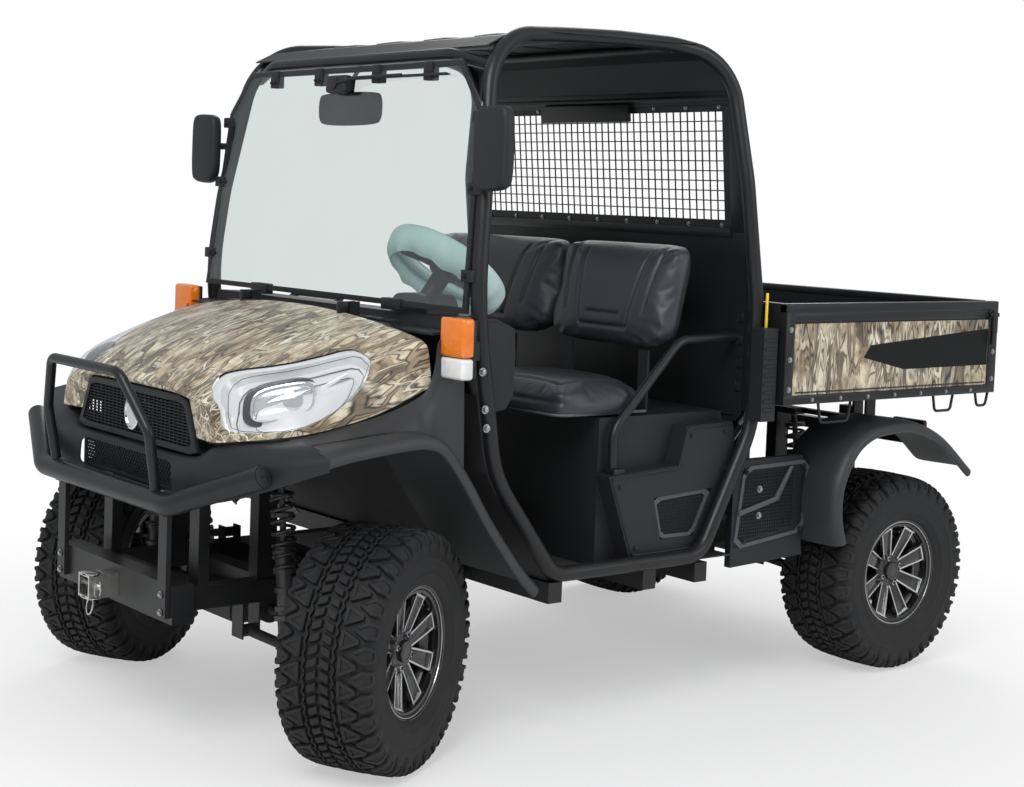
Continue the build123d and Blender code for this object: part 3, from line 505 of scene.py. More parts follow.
def camoFinish(name, lean=0, fine=1.5):
    # lean turns the upright stalks of the pattern down along the vehicle
    made, tree, shader, where = newMaterial(name)
    turn = addNode(tree, "ShaderNodeMapping", {
        "Vector": where, "Rotation": (radians(lean), 0, 0), "Scale": (fine, fine, fine)})
    pattern = useGroup(tree, camouflage, {"Vector": turn.outputs["Vector"]})
    worn = useGroup(tree, grain, {"Grain": 260.0, "Drift": 2.0, "Vector": where})
    gloss = ranged(tree, worn["Drift"], {"To Min": 0.3, "To Max": 0.46})
    fill(tree, shader, {
        "Base Color": pattern["Color"], "Roughness": gloss,
        "Normal": relief(tree, worn["Height"], 0.05, 0.0004), "Coat Weight": 0.25,
        "Coat Roughness": 0.2})
    return made


looks = {
    "black_steel": finish(
        "powderCoat", (0.011, 0.0115, 0.013), 0.36, grainScale=420, bump=0.12, specular=0.4,
        dustAmount=0.1, dustHeight=0.7),
    "black_plastic": finish(
        "grainedPlastic", (0.016, 0.017, 0.019), 0.52, grainScale=1500, bump=0.3, dustAmount=0.06,
        specular=0.35),
    "camo_panel": camoFinish("camouflagePrint"),
    "camo_hood": camoFinish("camouflageHood", 72, 1.6),
    "lamp": thinGlass("lampLens", (0.98, 0.985, 0.99)),
    "amber_lens": finish(
        "amberLens", (0.9, 0.22, 0.01), 0.12, grainScale=40, bump=0.0, colourSpread=0.06,
        coat=0.6),
    "screen_glass": thinGlass("tintedScreen", (0.85, 0.885, 0.875)),
    "tyre": finish("treadRubber", (0.012, 0.0125, 0.014), 0.66, grainScale=700, bump=0.35,
                   dustAmount=0.1, dustHeight=0.7, specular=0.35),
    "alloy": finish("glossBlackAlloy", (0.012, 0.012, 0.013), 0.16, grainScale=200, bump=0.03,
                    dustAmount=0.05, coat=0.4),
    "cast_iron": finish(
        "darkCasting", (0.05, 0.05, 0.052), 0.62, metallic=0.5, grainScale=500, bump=0.6,
        dustAmount=0.35),
    "steel": finish("bareSteel", (0.42, 0.42, 0.43), 0.32, metallic=1.0, grainScale=260, bump=0.08,
                    dustAmount=0.1),
    "zinc": finish("brightZinc", (0.66, 0.66, 0.63), 0.3, metallic=1.0, grainScale=120, bump=0.1,
                   colourSpread=0.12, dustAmount=0.05),
    "spring": finish(
        "springPaint", (0.035, 0.035, 0.037), 0.35, grainScale=200, bump=0.05, dustAmount=0.3),
    "vinyl": finish("sewnVinyl", (0.04, 0.042, 0.046), 0.5, grainScale=620, bump=0.4),
    "wheel_grip": finish(
        "paleWrap", (0.62, 0.8, 0.79), 0.42, grainScale=90, bump=0.3, colourSpread=0.15),
    "floor_rubber": finish(
        "ribbedMat", (0.03, 0.03, 0.031), 0.75, grainScale=500, bump=0.4, dustAmount=0.3)}


def floorFinish():
    # a pale floor with soft contact shadows, which fades into the white behind it
    made, tree, shader, where = newMaterial("paleFloor")
    worn = useGroup(tree, grain, {"Grain": 40.0, "Drift": 0.6, "Vector": where})
    tint = tinted(tree, worn["Drift"], (studio["floor"],) * 3 + (1,),
                  (studio["floor"] + 0.02,) * 3 + (1,))
    fill(tree, shader, {"Base Color": tint, "Roughness": 0.9, "Specular IOR Level": 0.0})
    glow = addNode(tree, "ShaderNodeEmission", {"Color": (1, 1, 1, 1)})
    distance = addNode(tree, "ShaderNodeVectorMath", {0: where}, operation="LENGTH")
    fade = ranged(tree, distance.outputs["Value"], {
        "From Min": 0.9, "From Max": 2.9, "To Min": studio["glow"], "To Max": 1.0},
        interpolation_type="SMOOTHSTEP")
    share = combined(tree, "MULTIPLY", fade, seenRays(tree))
    blended(tree, share, shader, glow, materialOut(tree))
    return made


def studioWorld():
    # pale to the camera and through glass, and a level light on the object
    world = bpy.data.worlds.new("studioWorld")
    bpy.context.scene.world = world
    world.use_nodes = True
    tree = world.node_tree
    tree.nodes.clear()
    light = addNode(tree, "ShaderNodeBackground",
                    {"Strength": studio["world"], "Color": (0.97, 0.985, 1, 1)})
    pale = addNode(tree, "ShaderNodeBackground", {"Strength": 1.0, "Color": (1, 1, 1, 1)})
    blended(tree, seenRays(tree), light, pale, addNode(tree, "ShaderNodeOutputWorld"))


def place(obj, look, body, *replaced, slot=None, angle=30):
    # look is a name in looks, or a material when a slot is given; the slot names what it stands in
    # but is not otherwise used
    if angle:
        smooth(obj, angle)
    obj.data.materials.clear()
    obj.data.materials.append(look if slot else looks[look])
    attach(obj, body)
    if replaced:
        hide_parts(*replaced)
    return obj


def mirroredTwin(obj, name):
    return turned(copied(obj, name), mirror)


def bothHands(name, parts, look, body, *replaced, slot=None, angle=30):
    # one joined piece for the left side and its mirror twin
    obj = joined(name + "_left", parts)
    if angle:
        smooth(obj, angle)
    for piece in (obj, mirroredTwin(obj, name + "_right")):
        place(piece, look, body, *replaced, slot=slot, angle=None)


ground.data.materials.append(floorFinish())
studioWorld()
nodeSlots = {part["node"]: part["material_slot"] for part in frame["record"]["subparts"]}
for name, obj in nodes.items():
    obj.data.materials.clear()
    obj.data.materials.append(looks[nodeSlots[name]])
print("materials ready")


# tyres: a spun carcass with rows of bevelled tread blocks that wrap over the shoulder
tyre = {"radius": 0.3175, "pitches": 32, "offset": 0.0513, "turned": 27.6,
        "kingpin": {"front": 0.6045, "rear": 0.5615}}
# distance across the tread, then the lug's top and the groove's floor as (x, radius)
treadCurve = [
    (0.0, (0.0, 0.3175), (0.0, 0.305)), (0.04, (0.04, 0.3172), (0.04, 0.3047)),
    (0.08, (0.08, 0.316), (0.079, 0.3036)), (0.104, (0.104, 0.314), (0.1005, 0.3016)),
    (0.118, (0.1175, 0.3103), (0.1115, 0.2982)), (0.128, (0.1262, 0.3038), (0.119, 0.2915)),
    (0.138, (0.1312, 0.2948), (0.1245, 0.282)), (0.15, (0.1334, 0.283), (0.1287, 0.2705)),
    (0.164, (0.1334, 0.27), (0.1316, 0.258)),
]
sidewall = [
    (0.1323, 0.25), (0.1331, 0.244), (0.1331, 0.242), (0.1318, 0.24), (0.132, 0.233),
    (0.1312, 0.22), (0.129, 0.207), (0.1297, 0.205), (0.129, 0.199), (0.1262, 0.196),
    (0.1225, 0.186), (0.1195, 0.179), (0.1165, 0.1765), (0.112, 0.17), (0.105, 0.16),
    (0.1035, 0.1535), (0.08, 0.1525),
]


def onTread(across, height):
    side = -1 if across < 0 else 1
    reach = min(abs(across), treadCurve[-1][0])
    for (a, topA, floorA), (b, topB, floorB) in zip(treadCurve, treadCurve[1:]):
        if reach <= b:
            share = (reach - a) / (b - a)
            top = [p + (q - p) * share for p, q in zip(topA, topB)]
            low = [p + (q - p) * share for p, q in zip(floorA, floorB)]
            break
    x, radius = (p + (q - p) * height for p, q in zip(low, top))
    return side * x, radius


def treadBlock(outline, top=1.0, pit=0.0, draft=0.92, cuts=(), bevel=0.0011):
    # outline in millimetres: across the tread, then along it
    obj = slab("treadBlock", [(a / 1000, b / 1000) for a, b in outline], 0, 1, axis="z")
    middle = [sum(p[i] for p in outline) / len(outline) / 1000 for i in (0, 1)]
    for vertex in obj.data.vertices:
        if vertex.co.z > 0.5:
            for i in (0, 1):
                vertex.co[i] = middle[i] + (vertex.co[i] - middle[i]) * draft
    if pit:
        editing(obj)
        bpy.ops.mesh.select_mode(type="FACE")
        bpy.ops.mesh.select_all(action="DESELECT")
        done()
        for face in obj.data.polygons:
            face.select = face.normal.z > 0.9
        bpy.ops.object.mode_set(mode="EDIT")
        bpy.ops.mesh.inset(thickness=pit)
        bpy.ops.mesh.inset(thickness=0.0006)
        bpy.ops.transform.translate(value=(0, 0, -0.3))
        bpy.ops.mesh.select_mode(type="VERT")
        done()
    for cut in cuts:
        editing(obj)
        bpy.ops.mesh.bisect(plane_co=(cut, 0, 0), plane_no=(1, 0, 0))
        done()
    for vertex in obj.data.vertices:
        x, radius = onTread(vertex.co.x, vertex.co.z * top if vertex.co.z > 0.5 else -0.08)
        turn = vertex.co.y / tyre["radius"]
        vertex.co = (x, radius * sin(turn), -radius * cos(turn))
    return bevelled(obj, bevel, 1, 40)


def tyreMesh():
    outer = [(163, -17), (163, 17), (150, 22), (117, 25), (83, 5), (83, -5), (117, -25),
             (150, -22)]
    inner = [(52, -25), (52, 25), (60, 27), (105, 6), (105, -6), (60, -27)]
    zigzag = [(35, -29), (42, -16), (35, 0), (42, 16), (35, 29)]
    zigzag += [(a + 5, b) for a, b in reversed(zigzag)]
    herring = [(4, -12), (4, 8), (17, 14), (31, 19), (31, -1), (17, -6)]
    # one pitch of one half of the tread
    half = [treadBlock(outer, pit=0.0095, cuts=(0.118, 0.128, 0.138, 0.15))]
    half.append(
        turned(treadBlock(inner, pit=0.0085), Matrix.Rotation(pi / tyre["pitches"], 4, "X")))
    half.append(treadBlock(zigzag, top=0.92, draft=1.0, bevel=0.0008))
    for part in (0, 0.5):
        half.append(
            turned(treadBlock(herring), Matrix.Rotation(2 * pi * part / tyre["pitches"], 4, "X")))
    right = joined("treadRow", half)
    left = turned(copied(right, "treadLeft"),
                  Matrix.Rotation(pi / tyre["pitches"], 4, "X") @ mirror)
    lugs = spunCopies(joined("lugs", [right, left]), tyre["pitches"])
    wall = [low for _, _, low in treadCurve] + sidewall
    profile = [(-x, r) for x, r in reversed(wall[1:])] + wall
    inside = [(0.094, 0.1535), (0.1, 0.2), (0.1, 0.28), (0.0, 0.29)]
    profile += inside + [(-x, r) for x, r in reversed(inside[:-1])]
    carcass = spunProfile("carcass", profile, 96)
    return smooth(joined("tyreMesh", [carcass, lugs]), 40)


def wheelPlace(corner):
    axleName, hand = corner.split("_")
    side = 1 if hand == "left" else -1
    turn = tyre["turned"] if axleName == "front" else 0
    return (Matrix.Translation((side * tyre["kingpin"][axleName], axle[axleName], axle["height"]))
            @ Matrix.Rotation(radians(turn), 4, "Z") @ Matrix.Diagonal((side, 1, 1, 1))
            @ Matrix.Translation((tyre["offset"], 0, 0)))


corners = ("front_left", "front_right", "rear_left", "rear_right")
master = tyreMesh()
for number, corner in enumerate(corners):
    piece = copied(master, "tyre_" + corner + "_tread")
    turned(piece, Matrix.Rotation(0.05 * number, 4, "X"))
    turned(piece, wheelPlace(corner))
    place(piece, "tyre", "wheel_" + corner, "tyre_" + corner, angle=None)
bpy.data.objects.remove(master)
print("tyres done")


# rims: gloss black with machined edges on eight split spokes and a ring of pockets
rim = {"spokes": 8, "face": 0.0965, "dish": 0.2}
machined = finish(
    "machinedAlloy", (0.62, 0.62, 0.63), 0.24, metallic=1.0, grainScale=900, bump=0.05,
    colourSpread=0.08)


def dished(obj):
    # the face sinks towards the hub
    for vertex in obj.data.vertices:
        radius = hypot(vertex.co.y, vertex.co.z)
        vertex.co.x -= rim["dish"] * max(0, 0.152 - radius)
    return obj


def facePlate(name, outline, low, high, bevel=0.0009):
    # outline is (radius along the spoke, across it); heights are from the rim's face
    return dished(
        slab(name, [(across, -along) for along, across in outline], rim["face"] + low,
             rim["face"] + high, bevel=bevel))


def ringBand(name, stops, width, low, high):
    # a band whose inner radius changes with the angle, over one pitch of the spokes
    angles = [radians(a) for a, _ in stops]
    outline = [(r * cos(a), r * sin(a)) for a, (_, r) in zip(angles, stops)]
    outline += [((r + width) * cos(a), (r + width) * sin(a)) for a,
                (_, r) in reversed(list(zip(angles, stops)))]
    return facePlate(name, outline, low, high, bevel=0.0)


def rimPieces():
    bars = [(0.047, 0.019), (0.1495, 0.0265), (0.1495, -0.0265), (0.047, -0.019), (0.047, -0.0135),
            (0.1425, -0.0205), (0.1425, 0.0205), (0.047, 0.0135)]
    contour = [(-22.5, 0.1565), (-13.0, 0.1565), (-10.2, 0.1475), (10.2, 0.1475), (13.0, 0.1565),
               (22.5, 0.1565)]
    silver = [facePlate("spokeBars", bars, -0.011, 0)]
    silver.append(ringBand("pocketEdge", contour, 0.0034, -0.004, 0.0002))
    for side in (-1, 1):
        turn = radians(11.7 * side)
        divider = facePlate(
            "divider", [(0.15, -0.0016), (0.1645, -0.0016), (0.1645, 0.0016), (0.15, 0.0016)],
            -0.004, 0.0002, bevel=0.0)
        silver.append(turned(divider, Matrix.Rotation(turn, 4, "X")))
    bright = spunCopies(joined("bright", silver), rim["spokes"])
    lipRing = spunProfile("lipRing", [
        (0.108, 0.1642), (0.1098, 0.165), (0.1098, 0.1672), (0.108, 0.168),
        (0.096, 0.1672), (0.096, 0.164)], 96)
    channel = [(0.04, 0.0165), (0.149, 0.0255), (0.149, -0.0255), (0.04, -0.0165)]
    dark = [facePlate("channel", channel, -0.026, -0.0065)]
    fins = [(0.04, 0.018), (0.15, 0.0258), (0.15, 0.0195), (0.04, 0.012)]
    for side in (-1, 1):
        dark.append(facePlate("fin", [(a, side * b) for a, b in fins], -0.024, -0.0105))
    floor = [(-22.5, 0.1485), (-11.5, 0.1485), (-10.2, 0.148), (10.2, 0.148), (11.5, 0.1485),
             (22.5, 0.1485)]
    dark.append(ringBand("pocketFloor", floor, 0.0185, -0.012, -0.005))
    spokes = spunCopies(joined("darkSpokes", dark), rim["spokes"])
    barrel = spunProfile("barrel", [
        (0.1137, 0.1725), (0.112, 0.1738), (0.106, 0.1725), (0.1045, 0.156), (0.1035, 0.1526),
        (0.076, 0.152), (0.07, 0.142), (0.03, 0.134), (-0.05, 0.134),
        (-0.065, 0.152), (-0.1035, 0.1526), (-0.1045, 0.156), (-0.106, 0.1725),
        (-0.112, 0.1738), (-0.1137, 0.1725), (-0.113, 0.168), (-0.1, 0.15),
        (-0.064, 0.148), (-0.048, 0.13), (0.031, 0.13), (0.066, 0.1375),
        (0.076, 0.147), (0.083, 0.163), (0.096, 0.1668), (0.1095, 0.1672), (0.113, 0.17)], 96)
    hub = spunProfile("hub", [
        (0.076, 0.0), (0.076, 0.03), (0.074, 0.036), (0.07, 0.05), (0.072, 0.059),
        (0.069, 0.061), (0.045, 0.06), (0.03, 0.058), (0.026, 0.038), (0.026, 0.0)],
        64, closed=False)
    cap = spunProfile("cap", [
        (0.088, 0.0), (0.0878, 0.017), (0.0868, 0.018), (0.0868, 0.02), (0.0882, 0.0212),
        (0.0878, 0.027), (0.085, 0.0296), (0.074, 0.03), (0.074, 0.0)], 48, closed=False)
    nuts = []
    for number in range(4):
        turn = pi / 4 + number * pi / 2
        y, z = 0.044 * cos(turn), 0.044 * sin(turn)
        nuts.append(rodOf("nut", (0.066, y, z), (0.083, y, z), 0.0085, sides=6, bevel=0.0012))
        nuts.append(rodOf("stud", (0.08, y, z), (0.087, y, z), 0.005, sides=16, bevel=0.0012))
    valve = rodOf("valve", (0.078, 0.126, 0.052), (0.1, 0.122, 0.05), 0.0042, 12, bevel=0.001)
    black = joined("black", [barrel, spokes, hub, cap, valve] + nuts[1::2])
    bright = joined("bright", [bright, lipRing] + nuts[0::2])
    return smooth(cleaned(black), 35), smooth(cleaned(bright), 30)


blackMaster, brightMaster = rimPieces()
for number, corner in enumerate(corners):
    for source, label, material in (
            (blackMaster, "_wheel", looks["alloy"]), (brightMaster, "_edges", machined)):
        piece = copied(source, "rim_" + corner + label)
        turned(piece, Matrix.Rotation(radians(22.5) + 0.37 * number, 4, "X"))
        turned(piece, wheelPlace(corner))
        place(piece, material, "wheel_" + corner, "rim_" + corner, slot="alloy", angle=None)
for source in (blackMaster, brightMaster):
    bpy.data.objects.remove(source)
print("rims done")


# helpers for smooth shells and cut panels
def through(points, count):
    # evenly spaced places on a smooth line through the points
    points = [Vector(p) for p in points]
    ends = [points[0] * 2 - points[1]] + points + [points[-1] * 2 - points[-2]]
    fine = []
    for a, b, c, d in zip(ends, ends[1:], ends[2:], ends[3:]):
        for step in range(16):
            t = step / 16
            fine.append(0.5 * (2 * b + (c - a) * t + (2 * a - 5 * b + 4 * c - d) * t * t
                               + (3 * b - a - 3 * c + d) * t ** 3))
    fine.append(points[-1])
    lengths = [0]
    for a, b in zip(fine, fine[1:]):
        lengths.append(lengths[-1] + (b - a).length)
    places, at = [], 0
    for number in range(count):
        want = lengths[-1] * number / (count - 1)
        while at < len(fine) - 2 and lengths[at + 1] < want:
            at += 1
        share = (want - lengths[at]) / max(1e-9, lengths[at + 1] - lengths[at])
        places.append(fine[at].lerp(fine[at + 1], min(1, max(0, share))))
    return places


def rounded(outline, rounds=2, share=0.25):
    # corners of a closed outline cut back and cut again
    for _ in range(rounds):
        cut = []
        for a, b in zip(outline, outline[1:] + outline[:1]):
            cut.append(tuple(p + (q - p) * share for p, q in zip(a, b)))
            cut.append(tuple(q + (p - q) * share for p, q in zip(a, b)))
        outline = cut
    return outline


def inset(outline, distance):
    # the closed outline moved inwards, whichever way round it runs
    area = sum(a[0] * b[1] - b[0] * a[1] for a, b in zip(outline, outline[1:] + outline[:1]))
    sign = 1 if area > 0 else -1
    moved = []
    for before, here, after in zip(
            outline[-1:] + outline[:-1], outline, outline[1:] + outline[:1]):
        runs = [Vector((b[0] - a[0], b[1] - a[1])).normalized() for a,
                b in ((before, here), (here, after))]
        normals = [Vector((-run.y, run.x)) * sign for run in runs]
        total = normals[0] + normals[1]
        reach = distance * 2 / max(0.4, total.length_squared)
        moved.append((here[0] + total.x * reach, here[1] + total.y * reach))
    return moved


def frameOf(x, y, z, origin):
    # the matrix whose axes and origin these are
    made = Matrix((x, y, z)).transposed().to_4x4()
    made.translation = origin
    return made


def shifted(outline):
    # (y, z) places given from the middle of the wheelbase
    return [(y + midY, z) for y, z in outline]


def boolean(obj, other, operation="DIFFERENCE"):
    modified(obj, "BOOLEAN", object=other, operation=operation, solver="EXACT")
    bpy.data.objects.remove(other)
    return obj


def outward(obj, *direction):
    # the face furthest along this direction looks that way
    direction = Vector(direction)
    far = max(obj.data.polygons, key=lambda face: face.center.dot(direction))
    if far.normal.dot(direction) < 0:
        obj.data.flip_normals()
    return obj


def meshOf(name, points, faces):
    made = bpy.data.meshes.new(name)
    made.from_pydata(points, [], faces)
    obj = bpy.data.objects.new(name, made)
    bpy.context.scene.collection.objects.link(obj)
    return obj


def solid(obj, thickness, offset=-1):
    return modified(obj, "SOLIDIFY", thickness=thickness, offset=offset, use_even_offset=True)


def bentTube(name, points, radius, sides=16, caps=True, closed=False):
    # a round tube along straight runs with rounded corners already in the points
    deselectAll()
    bpy.ops.curve.primitive_bezier_curve_add()
    obj = bpy.context.object
    curve = obj.data
    curve.splines.clear()
    spline = curve.splines.new("POLY")
    spline.points.add(len(points) - 1)
    for point, at in zip(spline.points, points):
        point.co = (*at, 1)
    spline.use_cyclic_u = closed
    curve.dimensions = "3D"
    curve.bevel_depth = radius
    curve.bevel_resolution = max(1, sides // 4 - 1)
    curve.use_fill_caps = caps
    curve.twist_mode = "MINIMUM"
    obj.matrix_world = Matrix.Identity(4)
    pick(obj)
    bpy.ops.object.convert(target="MESH")
    obj = named(name)
    return smooth(cleaned(obj), 50)


def cornered(points, bend, steps=6):
    # straight runs joined by round corners
    points = [Vector(p) for p in points]
    line = [points[0]]
    for before, here, after in zip(points, points[1:], points[2:]):
        into, out = (before - here), (after - here)
        angle = into.angle(out)
        reach = min(bend / tan(angle / 2), into.length * 0.49, out.length * 0.49)
        start, end = here + into.normalized() * reach, here + out.normalized() * reach
        for step in range(steps + 1):
            t = step / steps
            line.append(start * (1 - t) ** 2 + here * 2 * t * (1 - t) + end * t * t)
    line.append(points[-1])
    return line


# hood: a crowned shell with a rolled nose and cut-outs for lamps and grille
hood = {"wall": 0.004, "sections": [
    # y from mid-wheelbase, half width at the edge, edge z, shoulder z, crown z
    (-1.376, 0.44, 0.842, 0.925, 0.962), (-1.285, 0.56, 0.862, 0.968, 1.03),
    (-1.19, 0.62, 0.88, 1.003, 1.078), (-1.01, 0.648, 0.925, 1.066, 1.138),
    (-0.866, 0.668, 0.992, 1.112, 1.168)]}
grilleOutline = {"topHalf": 0.282, "topZ": 0.945, "lowHalf": 0.352, "lowZ": 0.792}


def hoodRow(y):
    rows = hood["sections"]
    y = min(max(y, rows[0][0]), rows[-1][0])
    for number, (a, b) in enumerate(zip(rows, rows[1:])):
        if y <= b[0] + 1e-9:
            t = (y - a[0]) / (b[0] - a[0])
            before = rows[max(0, number - 1)]
            after = rows[min(len(rows) - 1, number + 2)]
            row = []
            for k in range(1, 5):
                slopeA = (b[k] - before[k]) / (b[0] - before[0]) * (b[0] - a[0])
                slopeB = (after[k] - a[k]) / (after[0] - a[0]) * (b[0] - a[0])
                row.append((2 * t ** 3 - 3 * t * t + 1) * a[k] + (t ** 3 - 2 * t * t + t) * slopeA
                           + (3 * t * t - 2 * t ** 3) * b[k] + (t ** 3 - t * t) * slopeB)
            return row


def hoodPoint(y, t):
    # t runs from -1 at the right lower edge over the crown to 1 at the left one
    half, edge, shoulder, crown = hoodRow(y)
    side, k = (-1 if t < 0 else 1), abs(t)
    shoulderX = half - 0.026
    if k <= 0.72:
        share = k / 0.72
        x, z = shoulderX * share, crown - (crown - shoulder) * share ** 2.1
    else:
        share = (k - 0.72) / 0.28
        x = shoulderX + (half - shoulderX) * share + 0.014 * share * (1 - share)
        z = shoulder + (edge - shoulder) * share
    return Vector((side * x, midY + y, z))


hoodTs = [-1, -0.93, -0.86, -0.79, -0.745, -0.695, -0.62, -0.5, -0.36, -0.2, -0.07, 0.07, 0.2,
          0.36, 0.5, 0.62, 0.695, 0.745, 0.79, 0.86, 0.93, 1]
hoodYs = [-1.3755, -1.366, -1.345, -1.315, -1.285, -1.24, -1.19, -1.13, -1.07, -1.01, -0.95,
          -0.905, -0.875, -0.864]


def noseRim(t):
    # the opening's outline, matched to the section's parameter
    g, side, k = grilleOutline, (-1 if t < 0 else 1), abs(t)
    if k <= 0.7:
        return Vector((side * g["topHalf"] * k / 0.7, midY - 1.371, g["topZ"] + 0.002))
    share = (k - 0.7) / 0.3
    lowX = g["topHalf"] + (g["lowHalf"] - g["topHalf"]) * (g["topZ"] - 0.843) / 0.153
    return Vector(
        (side * (g["topHalf"] + 0.002 + (lowX - g["topHalf"]) * share), midY - 1.371,
         g["topZ"] + (0.843 - g["topZ"]) * share))


def hoodShell(name, thickness, offset):
    rowCount = len(hoodYs) + 3

    def shape(u, v):
        t = hoodTs[round(u * (len(hoodTs) - 1))]
        row = round(v * (rowCount - 1))
        if row == 0:
            return noseRim(t) + Vector((0, 0.012, 0))
        if row == 1:
            return noseRim(t)
        if row == 2:
            rolled = hoodPoint(hoodYs[0], t).lerp(noseRim(t), 0.22)
            rolled.y = midY - 1.3765
            return rolled
        point = hoodPoint(hoodYs[row - 3], t)
        if row == rowCount - 1:
            point.z -= 0.006
        return point

    shell = sheetOf(name, len(hoodTs) - 1, rowCount - 1, shape)
    modified(shell, "SUBSURF", levels=2)
    return solid(outward(cleaned(shell), 0, 0, 1), thickness, offset)


lampOutline = rounded(
    [(-1.36, 0.904), (-1.357, 0.939), (-1.334, 0.966), (-1.312, 0.986), (-1.287, 1.004),
     (-1.265, 1.014), (-1.237, 1.023), (-1.206, 1.031), (-1.149, 1.046), (-1.085, 1.064),
     (-1.04, 1.077), (-1.017, 1.08), (-1.018, 1.062), (-1.032, 1.035), (-1.043, 1.011),
     (-1.068, 0.984), (-1.091, 0.962), (-1.128, 0.936), (-1.169, 0.914), (-1.204, 0.898),
     (-1.245, 0.885), (-1.294, 0.877), (-1.331, 0.874), (-1.356, 0.877)], 1)
lampOutline = shifted(lampOutline)


def lampPrism(distance):
    return slab("lampPrism", inset(lampOutline, distance), 0.3, 0.72)


hoodPiece = hoodShell("hood_shell", hood["wall"], -1)
for side in (1, -1):
    cutter = lampPrism(-0.0015)
    if side < 0:
        turned(cutter, mirror)
    boolean(hoodPiece, cutter)
ears = []
for side in (1, -1):
    x = side * 0.262
    ears.append(
        block("ear", (x - 0.008, midY - 0.892, 1.146), (x + 0.008, midY - 0.846, 1.186), 0.003))
    ears.append(
        rodOf("pin", (x - 0.017, midY - 0.852, 1.178), (x + 0.017, midY - 0.852, 1.178), 0.004,
            16))
place(hoodPiece, looks["camo_hood"], "hood", "hood", slot="camo_panel")
place(joined("hood_hinge_ears", ears), "black_steel", "hood", "hood")
print("hood done")

# headlights: a clear lens over a bezel, a main bowl and a pale side chamber
clearLens = looks["lamp"]
chrome = finish("lampChrome", (0.86, 0.87, 0.88), 0.12, metallic=1.0, grainScale=60, bump=0.02,
                drift=14.0, colourSpread=0.14, roughSpread=0.08)
frosted = finish(
    "frostedBezel", (0.93, 0.94, 0.95), 0.2, metallic=0.12, grainScale=120, bump=0.03, drift=26.0,
    colourSpread=0.1, coat=0.6)
lampBlack = finish("lampShadow", (0.02, 0.021, 0.023), 0.25, grainScale=80, bump=0.02)
lampCentre = Vector((0.548, midY - 1.222, 0.957))
lampAlong = Vector((0.5, 0.84, 0.2)).normalized()
lampOut = Vector((0.86, -0.5, 0.16)).cross(lampAlong).cross(lampAlong) * -1
lampOut.normalize()
lampUp = lampOut.cross(lampAlong)
lampFrame = frameOf(lampAlong, lampUp, lampOut, lampCentre)


def lampShape(outline, low, high, bevel=0.002, name="lampShape"):
    return turned(slab(name, outline, low, high, axis="z", bevel=bevel, segments=2), lampFrame)


def turns(count):
    # angles once round a circle
    return [2 * pi * number / count for number in range(count)]


def oval(halfWide, halfHigh, power, count=40, middle=(0, 0), lean=0.0):
    points = []
    for a in turns(count):
        c, s = cos(a), sin(a)
        x = halfWide * (abs(c) ** (2 / power)) * (1 if c > 0 else -1)
        y = halfHigh * (abs(s) ** (2 / power)) * (1 if s > 0 else -1)
        points.append((middle[0] + x + y * lean, middle[1] + y))
    return points


lensWall = 0.0025
lens = boolean(hoodShell("headlight_lens", lensWall, 0), lampPrism(0.0005), "INTERSECT")
bezel = hoodShell("headlight_bezel", 0.004, -1)
turned(bezel, Matrix.Translation((-0.005, 0.005, -0.003)))
boolean(bezel, lampPrism(-0.007), "INTERSECT")
boolean(bezel, lampPrism(0.01))


def onHood(y, z):
    # the place on the hood's outer face at this distance along and this height
    low, high = 0.0, 1.0
    for _ in range(30):
        middle = (low + high) / 2
        if hoodPoint(y, middle).z > z:
            low = middle
        else:
            high = middle
    return hoodPoint(y, low)


def lampRing(outline, share, depth):
    # the lamp's outline drawn in towards its middle and sunk under the hood's face
    centreY, centreZ = (sum(p[i] for p in outline) / len(outline) for i in (0, 1))
    inward = Vector((-0.62, 0.42, -0.66)).normalized()
    ring = []
    for y, z in outline:
        y, z = y + (centreY - y) * share, z + (centreZ - z) * share
        ring.append(onHood(max(y - midY, -1.374), z) + inward * depth)
    return ring


def lampPan():
    # a pale dish under the lens: rings of the outline sunk deeper towards its middle
    outline = inset(lampOutline, -0.002)
    steps = [(0.0, 0.0075), (0.03, 0.009), (0.05, 0.012), (0.075, 0.03), (0.1, 0.048),
             (0.3, 0.054), (0.6, 0.056), (0.85, 0.057)]
    count = len(outline)
    points, faces = [], []
    for share, depth in steps:
        points += lampRing(outline, share, depth)
    for ring in range(len(steps) - 1):
        for k in range(count):
            first, after = ring * count + k, ring * count + (k + 1) % count
            faces.append((first, after, after + count, first + count))
    faces.append([(len(steps) - 1) * count + k for k in range(count)])
    obj = cleaned(meshOf("headlight_pan", points, faces))
    if sum(face.normal.x * face.area for face in obj.data.polygons) < 0:
        obj.data.flip_normals()
    return solid(obj, 0.002, -1)


pan = lampPan()
mainBowl = oval(0.084, 0.045, 3.2, middle=(-0.018, -0.001), lean=0.25)
bowl = lampShape(mainBowl, -0.04, -0.014, bevel=0.004, name="headlight_bowl")
boolean(bowl, lampShape(inset(mainBowl, 0.006), -0.037, 0.0, bevel=0))
hollow = lampShape(inset(mainBowl, 0.008), -0.037, -0.03, bevel=0.003, name="hollow")
barrelLamp = turned(
    rodOf("projector", (0, 0, -0.034), (0, 0, -0.012), 0.027, 40, bevel=0.003),
    lampFrame @ Matrix.Translation((0.008, -0.001, 0)))
crescent = lampShape(
    oval(0.096, 0.056, 3.0, middle=(-0.025, 0.0), lean=0.25), -0.044, -0.024, bevel=0.003,
    name="headlight_crescent")
boolean(crescent,
        lampShape(oval(0.09, 0.046, 3.0, middle=(-0.008, -0.003), lean=0.25), -0.05, 0.0, bevel=0))
ribLow = lampShape(
    [(0.08, 0.02), (0.16, 0.046), (0.162, 0.041), (0.083, 0.008)], -0.06, -0.042, bevel=0.002)
